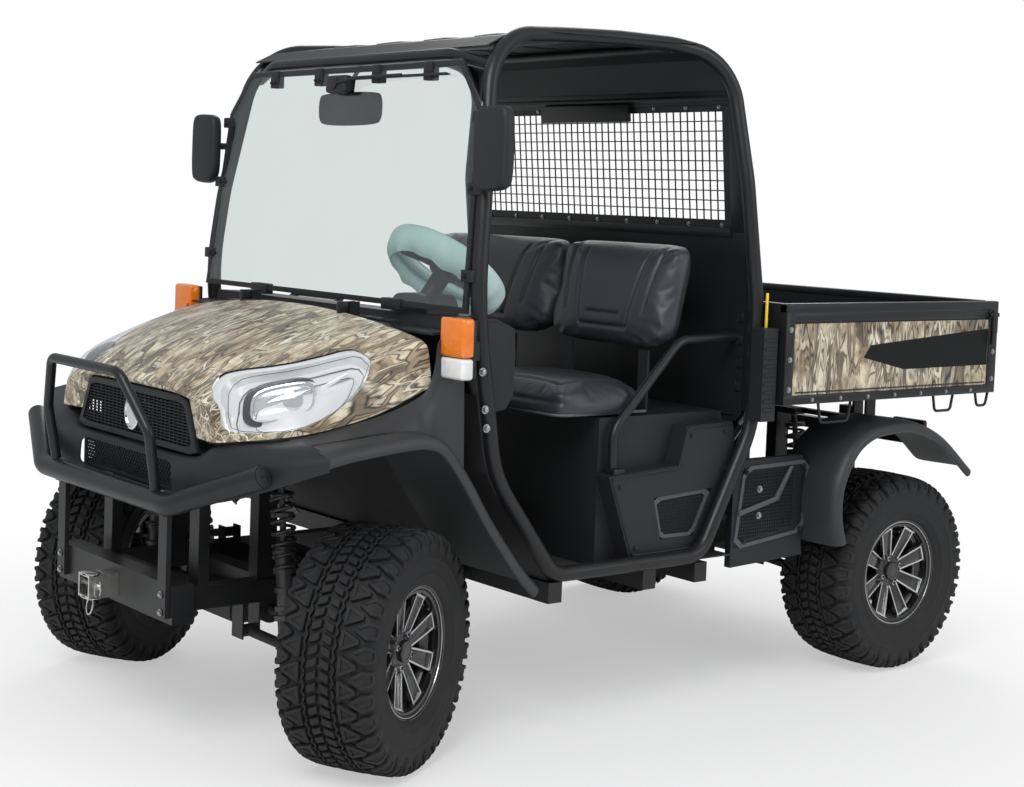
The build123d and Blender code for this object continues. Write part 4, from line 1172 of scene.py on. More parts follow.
chamberLine = finish(
    "chamberLine", (0.13, 0.135, 0.14), 0.3, metallic=0.6, grainScale=90, bump=0.02)


def panLine(share, depth, radius):
    # a fine dark line that follows the dish's outline
    points = lampRing(inset(lampOutline, 0.0035), share, depth)[::2]
    return bentTube("line", points, radius, 8, caps=False, closed=True)


chamberLines = [panLine(0.045, 0.0105, 0.0011), panLine(0.118, 0.048, 0.0016),
                panLine(0.3, 0.054, 0.0012)]
lampPieces = {
    "headlight_lens": ([lens], clearLens), "headlight_bezel": ([bezel], frosted),
    "headlight_body": ([pan, ribLow], frosted),
    "headlight_bowl": ([bowl, hollow, barrelLamp], chrome),
    "headlight_crescent": ([crescent], lampBlack), "headlight_lines": (chamberLines, chamberLine),
}
for label, (parts, material) in lampPieces.items():
    bothHands(label, parts, material, "hood", "headlights", slot="lamp")
print("headlights done")

# grille: a framed mesh of fine bars with a bare oval plate
g = grilleOutline
trapezoid = [(-g["topHalf"] + 0.003, g["topZ"] - 0.003), (g["topHalf"] - 0.003, g["topZ"] - 0.003),
             (g["lowHalf"] - 0.004, g["lowZ"] + 0.002), (-g["lowHalf"] + 0.004, g["lowZ"] + 0.002)]
front = midY - 1.3715
frameRing = slab(
    "grille_frame", rounded(trapezoid, 1, 0.06), front, front + 0.014, axis="y", bevel=0.002)
boolean(
    frameRing,
    slab("hole", rounded(inset(trapezoid, 0.017), 1, 0.06), front - 0.01, front + 0.03, axis="y"))
grilleMesh = {"barPitch": 0.0082, "barHeight": 0.0032, "postPitch": 0.0235, "postWidth": 0.0028}
honeycomb = {"rows": 9, "across": 0.0148, "up": 0.0092, "arm": 0.0047, "bar": 0.0022}
bars = []
z = g["lowZ"] + 0.024
while z < g["topZ"] - 0.018:
    share = (z - g["lowZ"]) / (g["topZ"] - g["lowZ"])
    reach = g["lowHalf"] + (g["topHalf"] - g["lowHalf"]) * share - 0.018
    bars.append(
        block("bar", (-reach, front + 0.003, z),
              (reach, front + 0.01, z + grilleMesh["barHeight"]), 0.001, 1))
    z += grilleMesh["barPitch"]
for number in range(-13, 14):
    x, halfPost = number * grilleMesh["postPitch"], grilleMesh["postWidth"] / 2
    top = g["topZ"] - 0.017
    if abs(x) > g["topHalf"] - 0.02:
        top = g["lowZ"] + (g["lowHalf"] - abs(x) - 0.018) / (g["lowHalf"] - g["topHalf"]) * 0.153
    bars.append(block("post", (x - halfPost, front + 0.005, g["lowZ"] + 0.016),
                      (x + halfPost, front + 0.012, top), 0.0005, 1))
place(joined("grille_mesh", [frameRing] + bars), "black_plastic", "chassis", "grilles")
plate = slab("emblem_plate", oval(0.041, 0.048, 2.0, 48, middle=(0, 0.868)), front - 0.012,
             front + 0.004, axis="y", bevel=0.003, segments=3)
dent = slab("dent", oval(0.034, 0.041, 2.0, 48, middle=(0, 0.868)), front - 0.02, front - 0.0095,
            axis="y")
boolean(plate, dent)
place(plate, chrome, "chassis", slot="zinc")

# dark sheets behind the grille bars and the intake honeycomb, for the shade inside the nose:
# painted shade
shade = [block("shade", (-0.3, front + 0.05, 0.8), (0.3, front + 0.054, 0.93), 0.001, 1),
         block("shade", (-0.262, front + 0.012, 0.694), (0.262, front + 0.016, 0.778), 0.001, 1)]
place(joined("grille_shade", shade), "black_plastic", "chassis", angle=None)

# the lower intake: a honeycomb of short bars
honey = []
for row in range(honeycomb["rows"]):
    for column in range(-17, 18):
        x = (column + row % 2 / 2) * honeycomb["across"]
        z = 0.7 + row * honeycomb["up"]
        for turn in (30, 90, 150):
            c, s = (f(radians(turn)) * honeycomb["arm"] for f in (cos, sin))
            if abs(x) < 0.25:
                honey.append(((x - c, z - s), (x + c, z + s)))


def strokes(name, segments, low, high, width):
    # many short bars in one mesh: each a box along its segment
    points, faces = [], []
    for a, b in segments:
        run = Vector((b[0] - a[0], b[1] - a[1])).normalized() * width / 2
        flat = [(a[0] - run.y, a[1] + run.x), (b[0] - run.y, b[1] + run.x),
                (b[0] + run.y, b[1] - run.x), (a[0] + run.y, a[1] - run.x)]
        first = len(points)
        points += [(x, low, z) for x, z in flat] + [(x, high, z) for x, z in flat]
        faces += [[first + k for k in face] for face in (
            (0, 1, 2, 3), (7, 6, 5, 4), (0, 4, 5, 1), (1, 5, 6, 2), (2, 6, 7, 3), (3, 7, 4, 0))]
    return cleaned(meshOf(name, points, faces), 0.0000001)


intakeY = midY - 1.392
intake = strokes("intake_mesh", honey, intakeY, intakeY + 0.005, honeycomb["bar"])
intakeFrame = block(
    "frame", (-0.262, intakeY - 0.001, 0.69), (0.262, intakeY + 0.006, 0.778), 0.002)
boolean(intakeFrame,
        block("gap", (-0.25, intakeY - 0.02, 0.701), (0.25, intakeY + 0.02, 0.769), 0.004))
place(joined("intake_grille", [intake, intakeFrame]), "black_plastic", "chassis", "grilles")
print("grille done")


# bumper cover: a shelf under the hood's edge, a bulged band and an intake opening
cover = {
    "line": [(0.0, -1.398), (0.25, -1.398), (0.36, -1.396), (0.45, -1.386), (0.55, -1.362),
             (0.63, -1.334), (0.7, -1.304), (0.781, -1.25)],
    "hoodEdge": [(0.0, -1.368, 0.787), (0.25, -1.368, 0.787), (0.345, -1.368, 0.796),
                 (0.41, -1.366, 0.83), (0.475, -1.344, 0.842), (0.535, -1.305, 0.851),
                 (0.58, -1.272, 0.858), (0.612, -1.252, 0.866)],
    "crease": [0.768, 0.768, 0.772, 0.78, 0.796, 0.812, 0.827, 0.846],
    "bottom": [0.672, 0.672, 0.676, 0.69, 0.716, 0.744, 0.772, 0.808]}


def coverStations(count):
    half = [Vector((*c, e)) for c, e in zip(cover["line"], cover["crease"])]
    lists = [through(half, count), through(cover["hoodEdge"], count),
             through([(*c, b) for c, b in zip(cover["line"], cover["bottom"])], count)]
    return list(zip(*lists))


def coverShape():
    stations = coverStations(29)
    rows = 11

    def shape(u, v):
        at = round(u * 56) - 28
        side = -1 if at < 0 else 1
        crease, top, low = stations[abs(at)]
        out = (Vector((crease.x, crease.y, 0)) - Vector((0, -0.9, 0))).normalized()
        inner = top + Vector((0, 0.03, -0.002)) - out * 0.02
        shelf = top.lerp(crease, 0.55) + Vector((0, 0, 0.01))
        middle = crease.lerp(low, 0.5) + out * 0.004
        line = [inner, top, top.lerp(shelf, 0.5), shelf, crease + out * 0.002,
                crease + Vector((0, 0, -0.014)) + out * 0.005, middle, low.lerp(middle, 0.25), low,
                low - out * 0.004 + Vector((0, 0, -0.003)), low - out * 0.03]
        point = line[round(v * (rows - 1))].copy()
        point.x = side * max(0, point.x) if at else 0
        point.y += midY
        return point

    shell = sheetOf("bumper_cover_skin", 56, rows - 1, shape)
    modified(shell, "SUBSURF", levels=1)
    return solid(outward(cleaned(shell), 0, -1, 0), 0.004)


coverSkin = coverShape()
boolean(
    coverSkin,
    slab("gap", rounded([(-0.262, 0.776), (0.262, 0.776), (0.278, 0.69), (-0.278, 0.69)], 2, 0.12),
         midY - 1.45, midY - 1.36, axis="y"))
place(coverSkin, "black_plastic", "chassis", "bumper_cover", angle=32)

# fenders: swept flares with a rolled lip, and skirts up to the hood's edge
frontArch = [(-1.258, 0.852), (-1.2, 0.864), (-1.117, 0.874), (-1.02, 0.884), (-0.945, 0.884),
             (-0.88, 0.858), (-0.8, 0.762), (-0.728, 0.655), (-0.622, 0.52), (-0.556, 0.454)]
rearArch = [(0.64, 0.446), (0.616, 0.52), (0.612, 0.6), (0.632, 0.675), (0.69, 0.762),
            (0.78, 0.812), (0.9, 0.826), (1.0, 0.822), (1.14, 0.77), (1.296, 0.655)]


def flare(arch, profile):
    # profile: (x, height above the arch line)
    count = 41
    line = through([(0, y, z) for y, z in arch], count)
    reach = len(profile) - 1

    def shape(u, v):
        number = round(u * (count - 1))
        before, after = line[max(0, number - 1)], line[min(count - 1, number + 1)]
        run = (after - before).normalized()
        normal = Vector((0, -run.z, run.y))
        x, height = profile[round(v * reach)]
        return line[number] + Vector((x, midY, 0)) + normal * height

    skin = sheetOf("flare", count - 1, reach, shape)
    modified(skin, "SUBSURF", levels=1)
    return solid(outward(cleaned(skin), 0, 0, 1), 0.0035)


frontProfile = [(0.4, -0.003), (0.55, -0.002), (0.66, 0.0), (0.705, 0.001), (0.745, 0.001),
                (0.768, -0.003), (0.78, -0.013), (0.784, -0.028), (0.783, -0.038), (0.774, -0.041),
                (0.766, -0.036)]
rearProfile = [(0.565, -0.003), (0.62, -0.002), (0.7, 0.0), (0.745, 0.0), (0.772, -0.003),
               (0.788, -0.012), (0.793, -0.024), (0.792, -0.036), (0.784, -0.039), (0.776, -0.035)]
skirt = {
    "top": [(0.576, -1.25, 0.864), (0.606, -1.215, 0.87), (0.628, -1.165, 0.882),
            (0.64, -1.09, 0.9), (0.651, -1.01, 0.92), (0.661, -0.94, 0.946), (0.669, -0.882, 0.98),
            (0.673, -0.86, 1.04), (0.673, -0.846, 1.112), (0.674, -0.8, 1.13),
            (0.674, -0.768, 1.132)],
    "low": [(0.664, -1.252, 0.856), (0.69, -1.2, 0.866), (0.706, -1.15, 0.874),
            (0.712, -1.09, 0.881), (0.714, -1.01, 0.886), (0.714, -0.94, 0.884),
            (0.708, -0.89, 0.862), (0.7, -0.868, 0.842), (0.694, -0.84, 0.812),
            (0.69, -0.8, 0.764), (0.69, -0.764, 0.712)]}


def skirtSkin():
    count = 41
    top, low = through(skirt["top"], count), through(skirt["low"], count)

    def shape(u, v):
        number = round(u * (count - 1))
        point = top[number].lerp(low[number], v)
        point.x += 0.01 * v * (1 - v) * 4 * (1 if number < 24 else 0.2)
        point.y += midY
        return point

    skin = sheetOf("front_skirt", count - 1, 6, shape)
    if sum(face.normal.x for face in skin.data.polygons) < 0:
        skin.data.flip_normals()
    return solid(skin, 0.0035)


fenderPlastic = finish(
    "fenderPlastic", (0.03, 0.032, 0.035), 0.44, grainScale=1300, bump=0.22, dustAmount=0.1,
    specular=0.45)
for label, obj in (("front_flare", flare(frontArch, frontProfile)),
                   ("rear_flare", flare(rearArch, rearProfile)), ("front_skirt", skirtSkin())):
    bothHands(label, [obj], fenderPlastic, "chassis", "fenders", slot="black_plastic", angle=32)
print("cover and fenders done")

# turn signals: an amber lens over a clear one in a dark base
amber = finish("amberSignal", (1.0, 0.2, 0.004), 0.14, grainScale=90, bump=0.02, drift=22.0,
               colourSpread=0.3, coat=0.8)
paleLens = finish(
    "paleSignal", (0.8, 0.8, 0.79), 0.16, grainScale=60, bump=0.02, drift=30.0, colourSpread=0.22,
    coat=0.8)
signal = {"x": (0.664, 0.766), "y": (-0.842, -0.802), "z": (1.014, 1.174), "split": 1.071}
y0, y1 = (midY + y for y in signal["y"])
for label, low, high, material in (
        ("signal_amber", signal["split"] + 0.001, signal["z"][1], amber),
        ("signal_clear", signal["z"][0], signal["split"] - 0.001, paleLens)):
    lensParts = [block("lens", (signal["x"][0], y0, low), (signal["x"][1], y1, high), 0.009, 4)]
    for number in range(1, 6):
        x = signal["x"][0] + (signal["x"][1] - signal["x"][0]) * number / 6
        lensParts.append(
            block("rib", (x - 0.0015, y0 - 0.0002, low + 0.012),
                  (x + 0.0015, y0 + 0.004, high - 0.012), 0.0007, 1))
    bothHands(label, lensParts, material, "chassis", "signal_lamps", slot="amber_lens")
base = block("base", (signal["x"][0] + 0.004, y1 - 0.004, signal["z"][0] + 0.004),
             (signal["x"][1] - 0.004, y1 + 0.011, signal["z"][1] - 0.004), 0.004)
bothHands("signal_base", [base], "black_plastic", "chassis", "signal_lamps")

tailRed = finish(
    "tailRed", (0.55, 0.012, 0.01), 0.14, grainScale=80, bump=0.02, drift=18.0, colourSpread=0.28,
    coat=0.8)
for side, hand in ((1, "left"), (-1, "right")):
    low, high = sorted((side * 0.43, side * 0.56))
    redPart = block("tail_lamp_" + hand, (low + 0.004, midY + 1.338, 0.704),
                    (high - 0.004, midY + 1.3542, 0.776), 0.006, 4)
    housing = block("tail_base_" + hand, (low, midY + 1.3262, 0.7), (high, midY + 1.344, 0.78),
                    0.004)
    place(redPart, tailRed, "chassis", "signal_lamps", slot="amber_lens")
    place(housing, "black_plastic", "chassis", "signal_lamps")

# brush guard: end plugs and the bolts of its feet
plugs = []
for side in (1, -1):
    start = Vector((side * 0.652, midY - 1.358, 0.786))
    run = (start - Vector((side * 0.372, midY - 1.462, 0.678))).normalized()
    plug = rodOf("plug", start - run * 0.002, start + run * 0.005, 0.0275, 40, bevel=0.002)
    cross = run.to_track_quat("Z", "Y").to_matrix().to_4x4()
    cross.translation = start + run * 0.005
    arms = [block("arm", (-0.019, -0.0022, -0.002), (0.019, 0.0022, 0.0016), 0.001, 1),
            block("arm", (-0.0022, -0.019, -0.002), (0.0022, 0.019, 0.0016), 0.001, 1)]
    plugs += [plug] + [turned(arm, cross) for arm in arms]
place(joined("guard_plugs", plugs), "black_plastic", "chassis")


def bolt(at, out, size=0.011, height=0.007):
    # a washer and a hexagon head with a rounded top
    at, out = Vector(at), Vector(out).normalized()
    washer = rodOf("washer", at, at + out * 0.0016, size * 1.05, 24)
    head = rodOf("head", at + out * 0.0014, at + out * height, size * 0.72, 6, bevel=0.0012)
    return [washer, head]


guardBolts = []
for side in (1, -1):
    for x, y, z in ((0.283, -1.452, 0.702), (0.317, -1.452, 0.702)):
        guardBolts += bolt((side * x, midY + y, z), (0, -0.3, 1), 0.008)
    for z in (0.385, 0.432):
        guardBolts += bolt((side * 0.3, midY - 1.4405, z), (0, -1, 0), 0.009)
place(joined("guard_bolts", guardBolts), "steel", "chassis")

# front clevis: ears, a cross pin with its clip and a ring below
clevis = []
for z in (0.372, 0.4345):
    ear = slab(
        "ear",
        rounded(
            [(-0.032, midY - 1.47), (-0.032, midY - 1.512), (0.032, midY - 1.512),
             (0.032, midY - 1.47)], 2, 0.2),
        z - 0.003, z + 0.0045, axis="z", bevel=0.001)
    clevis.append(ear)
pinY = midY - 1.484
clevis.append(rodOf("pin", (-0.052, pinY, 0.404), (0.05, pinY, 0.404), 0.0076, 24, 0.002))
clevis.append(rodOf("collar", (-0.056, pinY, 0.404), (-0.047, pinY, 0.404), 0.013, 24, 0.002))
clip = [(0.044, pinY - 0.002, 0.42), (0.044, pinY, 0.39), (0.046, pinY - 0.006, 0.38),
        (0.05, pinY - 0.018, 0.384), (0.05, pinY - 0.02, 0.402), (0.047, pinY - 0.012, 0.416)]
clevis.append(bentTube("clip", through(clip, 24), 0.0017, 8))
ringLine = [
    (-0.01 + 0.017 * sin(a), pinY - 0.004 + 0.004 * cos(a), 0.345 + 0.024 * cos(a))
    for a in turns(28)]
clevis.append(bentTube("ring", ringLine, 0.0022, 8, caps=False, closed=True))
clevis.append(
    rodOf("lug", (-0.018, pinY - 0.001, 0.366), (-0.002, pinY - 0.001, 0.366), 0.005, 16))
place(joined("front_clevis", clevis), "zinc", "chassis")
print("signals, plugs and clevis done")


# bench and backs: soft covers pressed out by their filling, with sewn channels
leather = finish(
    "seatVinyl", (0.036, 0.039, 0.045), 0.4, grainScale=480, bump=0.5, drift=5.0, specular=0.45)
stitch = finish("seamThread", (0.11, 0.115, 0.125), 0.6, grainScale=300, bump=0.2)
seatPan = {"backFoot": (0.02, 1.052), "backTop": (0.092, 1.366), "cushionLow": 0.872,
           "cushionHigh": 0.946}
filling = {"voxel": 0.006, "pressure": 3.4, "frames": 14, "quality": 4, "mass": 0.25,
           "stretch": 14, "squeeze": 8, "shear": 6, "bend": 1.2}
groove = {"width": 0.006, "backDepth": 0.008, "cushionDepth": 0.007}


def inflated(obj, pinned):
    # a closed cover fixed where pinned() says and pressed out by the filling inside
    modified(obj, "REMESH", mode="VOXEL", voxel_size=filling["voxel"], adaptivity=0.0)
    group = obj.vertex_groups.new(name="held")
    held = [v.index for v in obj.data.vertices if pinned(v.co)]
    group.add(held, 1.0, "REPLACE")
    pick(obj)
    cloth = obj.modifiers.new("cloth", "CLOTH")
    for key, value in {
            "quality": filling["quality"], "mass": filling["mass"], "use_pressure": True,
            "tension_stiffness": filling["stretch"], "compression_stiffness": filling["squeeze"],
            "shear_stiffness": filling["shear"], "bending_stiffness": filling["bend"],
            "uniform_pressure_force": filling["pressure"], "vertex_group_mass": "held"}.items():
        setattr(cloth.settings, key, value)
    cloth.settings.effector_weights.gravity = 0
    cloth.collision_settings.use_collision = False
    cloth.point_cache.frame_start = 1
    cloth.point_cache.frame_end = filling["frames"]
    scene = bpy.context.scene
    for number in range(1, filling["frames"] + 1):
        scene.frame_set(number)
        bpy.context.view_layer.update()
    pick(obj)
    bpy.ops.object.modifier_apply(modifier="cloth")
    scene.frame_set(1)
    obj.vertex_groups.clear()
    return modified(obj, "SMOOTH", factor=0.5, iterations=5)


def channelled(obj, lines, depth):
    # grooves pressed along sewn lines: each line gives its distance to a point
    width = groove["width"]
    for vertex in obj.data.vertices:
        for gap, out in lines:
            distance = gap(vertex.co)
            if distance < width * 3:
                vertex.co -= Vector(out) * depth * 2.718 ** (-(distance / width) ** 2)
    return obj


def seatBack(name, x0, x1):
    low, high = 1.056, 1.364
    corner = 0.03
    outline = rounded(
        [(x0 + 0.004, low), (x1 - 0.004, low), (x1 - 0.002, high - corner), (x1 - corner, high),
         (x0 + corner, high), (x0 + 0.002, high - corner)], 2, 0.14)
    cover = slab(name, outline, 0.0, 0.062, axis="y", bevel=0.016, segments=3)
    inflated(cover, lambda co: co.y > 0.05)
    middle = (x0 + x1) / 2
    (footY, footZ), (topY, topZ) = seatPan["backFoot"], seatPan["backTop"]
    lean = (topY - footY) / (topZ - footZ)
    half = (x1 - x0) / 2

    def upright(low, at, spread):
        # two mirrored lines that lean outwards as they rise
        return [(lambda co, side=side: abs(side * (co.x - middle) - half * (
            at + spread * (co.z - low))) if co.y < 0.04 and low < co.z < 1.345 else 1,
            (0, -1, 0)) for side in (-1, 1)]

    def across(at, reach):
        return [(lambda co: abs(co.z - at) if co.y < 0.04 and abs(co.x - middle) < half * reach
                 else 1, (0, -1, 0))]

    # a tapered middle panel with a short foot, and a swept seam outside it on each side
    inner, outer = upright(1.11, 0.4, 0.62), upright(1.15, 0.66, 0.5)
    lines = (across(1.112, 0.4) + [inner[0], outer[0], inner[1], outer[1]] + across(1.15, 0.28))
    channelled(cover, lines, groove["backDepth"])
    for vertex in cover.data.vertices:
        co = vertex.co
        co.y = midY + footY + 0.004 + min(co.y, 0.062) + (co.z - footZ) * lean
        co.y += 0.01 * ((co.x - middle) / half) ** 2 * -1
        # the cover stays inside the plain back it stands for
        co.x = min(max(co.x, x0), x1)
        co.z = min(max(co.z, 1.05), 1.368)
    modified(cover, "SUBSURF", levels=1)
    return smooth(cover, 60)


def seatCushion(name, x0, x1):
    front, rear = -0.362, 0.026
    outline = rounded(
        [(x0 + 0.004, rear), (x0 + 0.004, front + 0.035), (x0 + 0.035, front), (x1 - 0.035, front),
         (x1 - 0.004, front + 0.035), (x1 - 0.004, rear)], 2, 0.22)
    cover = slab(name, outline, seatPan["cushionLow"], seatPan["cushionHigh"], axis="z",
                 bevel=0.018, segments=3)
    inflated(cover, lambda co: co.z < 0.886)
    side = 0.075

    def lengthwise(co):
        return co.z > 0.9 and front + 0.06 < co.y < -0.02

    def crosswise(co):
        return co.z > 0.9 and x0 + side < co.x < x1 - side

    lines = [
        (lambda co: abs(co.x - (x0 + side)) if lengthwise(co) else 1, (0, 0, 1)),
        (lambda co: abs(co.x - (x1 - side)) if lengthwise(co) else 1, (0, 0, 1)),
        (lambda co: abs(co.y - (front + 0.06)) if crosswise(co) else 1, (0, 0, 1)),
        (lambda co: abs(co.y + 0.02) if crosswise(co) else 1, (0, 0, 1)),
        (lambda co: abs(co.z - 0.915) if co.y < front + 0.03 else 1, (0, -1, 0))]
    channelled(cover, lines, groove["cushionDepth"])
    for vertex in cover.data.vertices:
        co = vertex.co
        co.x = min(max(co.x, x0), x1)
        co.z = min(max(co.z, 0.868), 0.974)
        co.y = min(max(co.y, front - 0.004), rear + 0.004) + midY
    modified(cover, "SUBSURF", levels=1)
    return smooth(cover, 60)


seats = {"driver": (0.085, 0.604), "passenger": (-0.604, 0.075)}
for label, (x0, x1) in seats.items():
    back = place(seatBack("seat_back_" + label, x0, x1), leather, "chassis", "seat_backs",
                 slot="vinyl", angle=None)
    cushion = place(seatCushion("seat_cushion_" + label, x0, x1), leather, "chassis",
                    "seat_cushions", slot="vinyl", angle=None)
    # piping along the front edge of the cushion, and the board behind each back
    edge = [(x0 + 0.012, midY - 0.02, 0.88), (x0 + 0.012, midY - 0.33, 0.88),
            (x0 + 0.04, midY - 0.356, 0.88), (x1 - 0.04, midY - 0.356, 0.88),
            (x1 - 0.012, midY - 0.33, 0.88), (x1 - 0.012, midY - 0.02, 0.88)]
    place(bentTube("seat_piping_" + label, cornered(edge, 0.03), 0.0042, 8), stitch, "chassis",
          slot="vinyl", angle=None)
    board = slab(
        "seat_board_" + label,
        rounded([(x0 + 0.02, 1.062), (x1 - 0.02, 1.062), (x1 - 0.02, 1.352), (x0 + 0.02, 1.352)],
                2, 0.12),
        0.056, 0.074, axis="y", bevel=0.003)
    for vertex in board.data.vertices:
        vertex.co.y += midY + 0.022 + (vertex.co.z - 1.052) * 0.229
    place(board, "black_plastic", "chassis")
print("seats done")


# windscreen: edge trim, clamps at the top and sides, wiper motor and blade
screenLow = Vector((0, midY - 0.7677, 1.18))
screenHigh = Vector((0, midY - 0.6999, 1.856))
screenUp = (screenHigh - screenLow).normalized()
screenOut = Vector((0, -screenUp.z, screenUp.y))


def onScreen(x, along, off=0.0):
    # a place on the pane: metres from the middle, up from its foot, and out from its face
    return screenLow + screenUp * along + screenOut * off + Vector((x, 0, 0))


screenFrame = frameOf(Vector((1, 0, 0)), screenUp, screenOut, screenLow)
trimLine = [(-0.684, 0.0), (0.684, 0.0), (0.65, 0.548), (0.545, 0.676), (-0.545, 0.676),
            (-0.65, 0.548)]
trimOuter = slab("windscreen_trim", trimLine, -0.006, 0.006, axis="z", bevel=0.0015)
boolean(trimOuter, slab("hole", inset(trimLine, 0.016), -0.03, 0.03, axis="z"))
turned(trimOuter, screenFrame)
clampParts = []
for side in (1, -1):
    for along in (0.1, 0.33, 0.52):
        x = side * (0.684 - 0.036 * along / 0.548)
        at = onScreen(x, along)
        clampParts.append(
            block("clamp", (at.x - 0.026, at.y - 0.012, at.z - 0.016),
                  (at.x + 0.02, at.y + 0.02, at.z + 0.016), 0.003))
        clampParts += bolt(at + Vector((-side * 0.01, -0.0125, 0)), screenOut, 0.009, 0.007)
    for x in (side * 0.399, side * 0.15):
        at = onScreen(x, 0.655)
        clampParts.append(
            block("clamp", (at.x - 0.02, at.y - 0.011, at.z - 0.03),
                  (at.x + 0.02, at.y + 0.016, at.z + 0.022), 0.003))
        for shift in (-0.009, 0.009):
            clampParts += bolt(at + Vector((shift, -0.0115, -0.014)), screenOut, 0.0065, 0.006)
    at = onScreen(side * 0.35, 0.006)
    clampParts.append(
        block("clamp", (at.x - 0.045, at.y - 0.012, at.z - 0.018),
              (at.x + 0.045, at.y + 0.016, at.z + 0.014), 0.003))
place(joined("windscreen_clamps", clampParts), "black_plastic", "chassis")
place(trimOuter, "black_plastic", "chassis")

wiper = [
    block("motor", (-0.06, 0.596, 0.006), (0.04, 0.648, 0.04), 0.01, 3),
    rodOf("cap", (-0.012, 0.622, 0.038), (-0.012, 0.622, 0.046), 0.017, 32, 0.003),
    bentTube("arm",
             cornered([(-0.012, 0.622, 0.043), (0.1, 0.636, 0.04), (0.3, 0.64, 0.026)], 0.03),
             0.0042, 10),
    block("spine", (-0.012, 0.634, 0.012), (0.5, 0.641, 0.024), 0.002),
    block("rubber", (-0.014, 0.6355, 0.007), (0.502, 0.6395, 0.014), 0.001, 1)]
wiper = [turned(part, screenFrame) for part in wiper]
place(joined("windscreen_wiper", wiper), "black_plastic", "chassis", "windscreen_fittings")

# cowl between hood and windscreen: a grooved panel with its slots
cowl = []
for number in range(15):
    x = -0.42 + number * 0.06
    cowl.append(
        block("slot", (x - 0.022, midY - 0.832, 1.1405), (x + 0.022, midY - 0.8, 1.1465), 0.002))
cowlPiece = joined("cowl_louvres", cowl)

# door mirrors: domed shells with a glass set in, on short arms
mirrorGlass = finish(
    "mirrorGlass", (0.9, 0.92, 0.93), 0.03, metallic=1.0, grainScale=30, bump=0.0, drift=1.5,
    colourSpread=0.04, roughSpread=0.02)
mirrorShell = slab(
    "mirror_shell",
    rounded(
        [(0.678, 1.5), (0.806, 1.506), (0.816, 1.56), (0.814, 1.7), (0.796, 1.726), (0.69, 1.722),
         (0.674, 1.69)], 3, 0.2),
    midY - 0.768, midY - 0.73, axis="y", bevel=0.013, segments=4)
glassOutline = rounded(
    [(0.688, 1.512), (0.798, 1.517), (0.806, 1.562), (0.804, 1.696), (0.79, 1.714), (0.7, 1.711),
     (0.685, 1.688)], 3, 0.2)
boolean(mirrorShell, slab("dish", glassOutline, midY - 0.736, midY - 0.7, axis="y"))
mirrorPane = slab(
    "mirror_glass", inset(glassOutline, 0.001), midY - 0.7362, midY - 0.7325, axis="y",
    bevel=0.0008)
mirrorArm = bentTube(
    "mirror_arm",
    cornered(
        [(0.654, midY - 0.704, 1.622), (0.69, midY - 0.718, 1.622), (0.722, midY - 0.74, 1.622)],
        0.02),
    0.011, 16)
mirrorClamp = rodOf(
    "clamp", (0.653, midY - 0.704, 1.604), (0.653, midY - 0.704, 1.64), 0.02, 24, 0.003)
bothHands("door_mirror", [mirrorShell, mirrorArm, mirrorClamp], "black_plastic", "chassis",
          "mirrors")
bothHands("door_mirror_glass", [mirrorPane], mirrorGlass, "chassis", "mirrors", slot="zinc")
insideShell = slab(
    "inside_mirror",
    rounded(
        [(-0.18, 1.7), (-0.15, 1.684), (0.1, 1.684), (0.13, 1.7), (0.13, 1.768), (0.105, 1.782),
         (-0.155, 1.782), (-0.18, 1.768)], 2, 0.25),
    midY - 0.69, midY - 0.667, axis="y", bevel=0.008, segments=3)
insideStem = bentTube(
    "stem",
    cornered(
        [(-0.025, midY - 0.674, 1.774), (-0.025, midY - 0.668, 1.826),
         (-0.025, midY - 0.64, 1.866)], 0.02),
    0.0065, 12)
place(joined("inside_mirror", [insideShell, insideStem]), "black_plastic", "chassis", "mirrors")
insidePane = slab(
    "inside_mirror_glass",
    rounded([(-0.172, 1.694), (0.122, 1.694), (0.122, 1.773), (-0.172, 1.773)], 2, 0.16),
    midY - 0.6675, midY - 0.6645, axis="y", bevel=0.0008)
place(insidePane, mirrorGlass, "chassis", slot="zinc")

# steering wheel: a wrapped rim, three spokes and a plain boss
wheelRim = {"centre": (0.33, midY - 0.565, 1.29), "lean": -36.5, "radius": 0.17, "grip": 0.0136,
            "swells": 36}
wheelTurn = (
    Matrix.Translation(wheelRim["centre"]) @ Matrix.Rotation(radians(wheelRim["lean"]), 4, "X"))


def wheelPart(obj):
    return turned(obj, wheelTurn)


gripRim = bentTube(
    "grip", [(wheelRim["radius"] * cos(a), wheelRim["radius"] * sin(a), 0) for a in turns(72)],
    wheelRim["grip"], 24, caps=False, closed=True)
for vertex in gripRim.data.vertices:
    # finger swells and a wound ridge along the wrap
    around = atan2(vertex.co.y, vertex.co.x)
    middle = Vector((wheelRim["radius"] * cos(around), wheelRim["radius"] * sin(around), 0))
    vertex.co = middle + (vertex.co - middle) * (0.965 + 0.03 * cos(around * wheelRim["swells"]))
gripRim.name = gripRim.data.name = "steering_wheel_wrap"
place(wheelPart(gripRim), "wheel_grip", "steering_wheel", "steering_wheel", angle=60)
wheelCover = {
    "profile": [(0.166, 0.015), (0.176, 0.0142), (0.1838, 0.008), (0.1862, -0.004),
                (0.1855, -0.018), (0.182, -0.036), (0.173, -0.054), (0.154, -0.066)],
    "thickness": 0.0012, "around": 1.115, "across": 0.107}


def coverOver(u, v):
    # a thin loose cover pulled over the rim and gathered behind it
    at = v * (len(wheelCover["profile"]) - 1)
    radius, height = wheelCover["profile"][round(at)]
    a = 2 * pi * u
    slack = v * v
    radius += slack * (0.0035 * sin(7 * a + 0.6) + 0.0025 * sin(16 * a + 1.9))
    height += slack * (0.005 * cos(5 * a) + 0.003 * sin(13 * a + 0.8))
    return Vector((radius * cos(a), radius * sin(a), height))


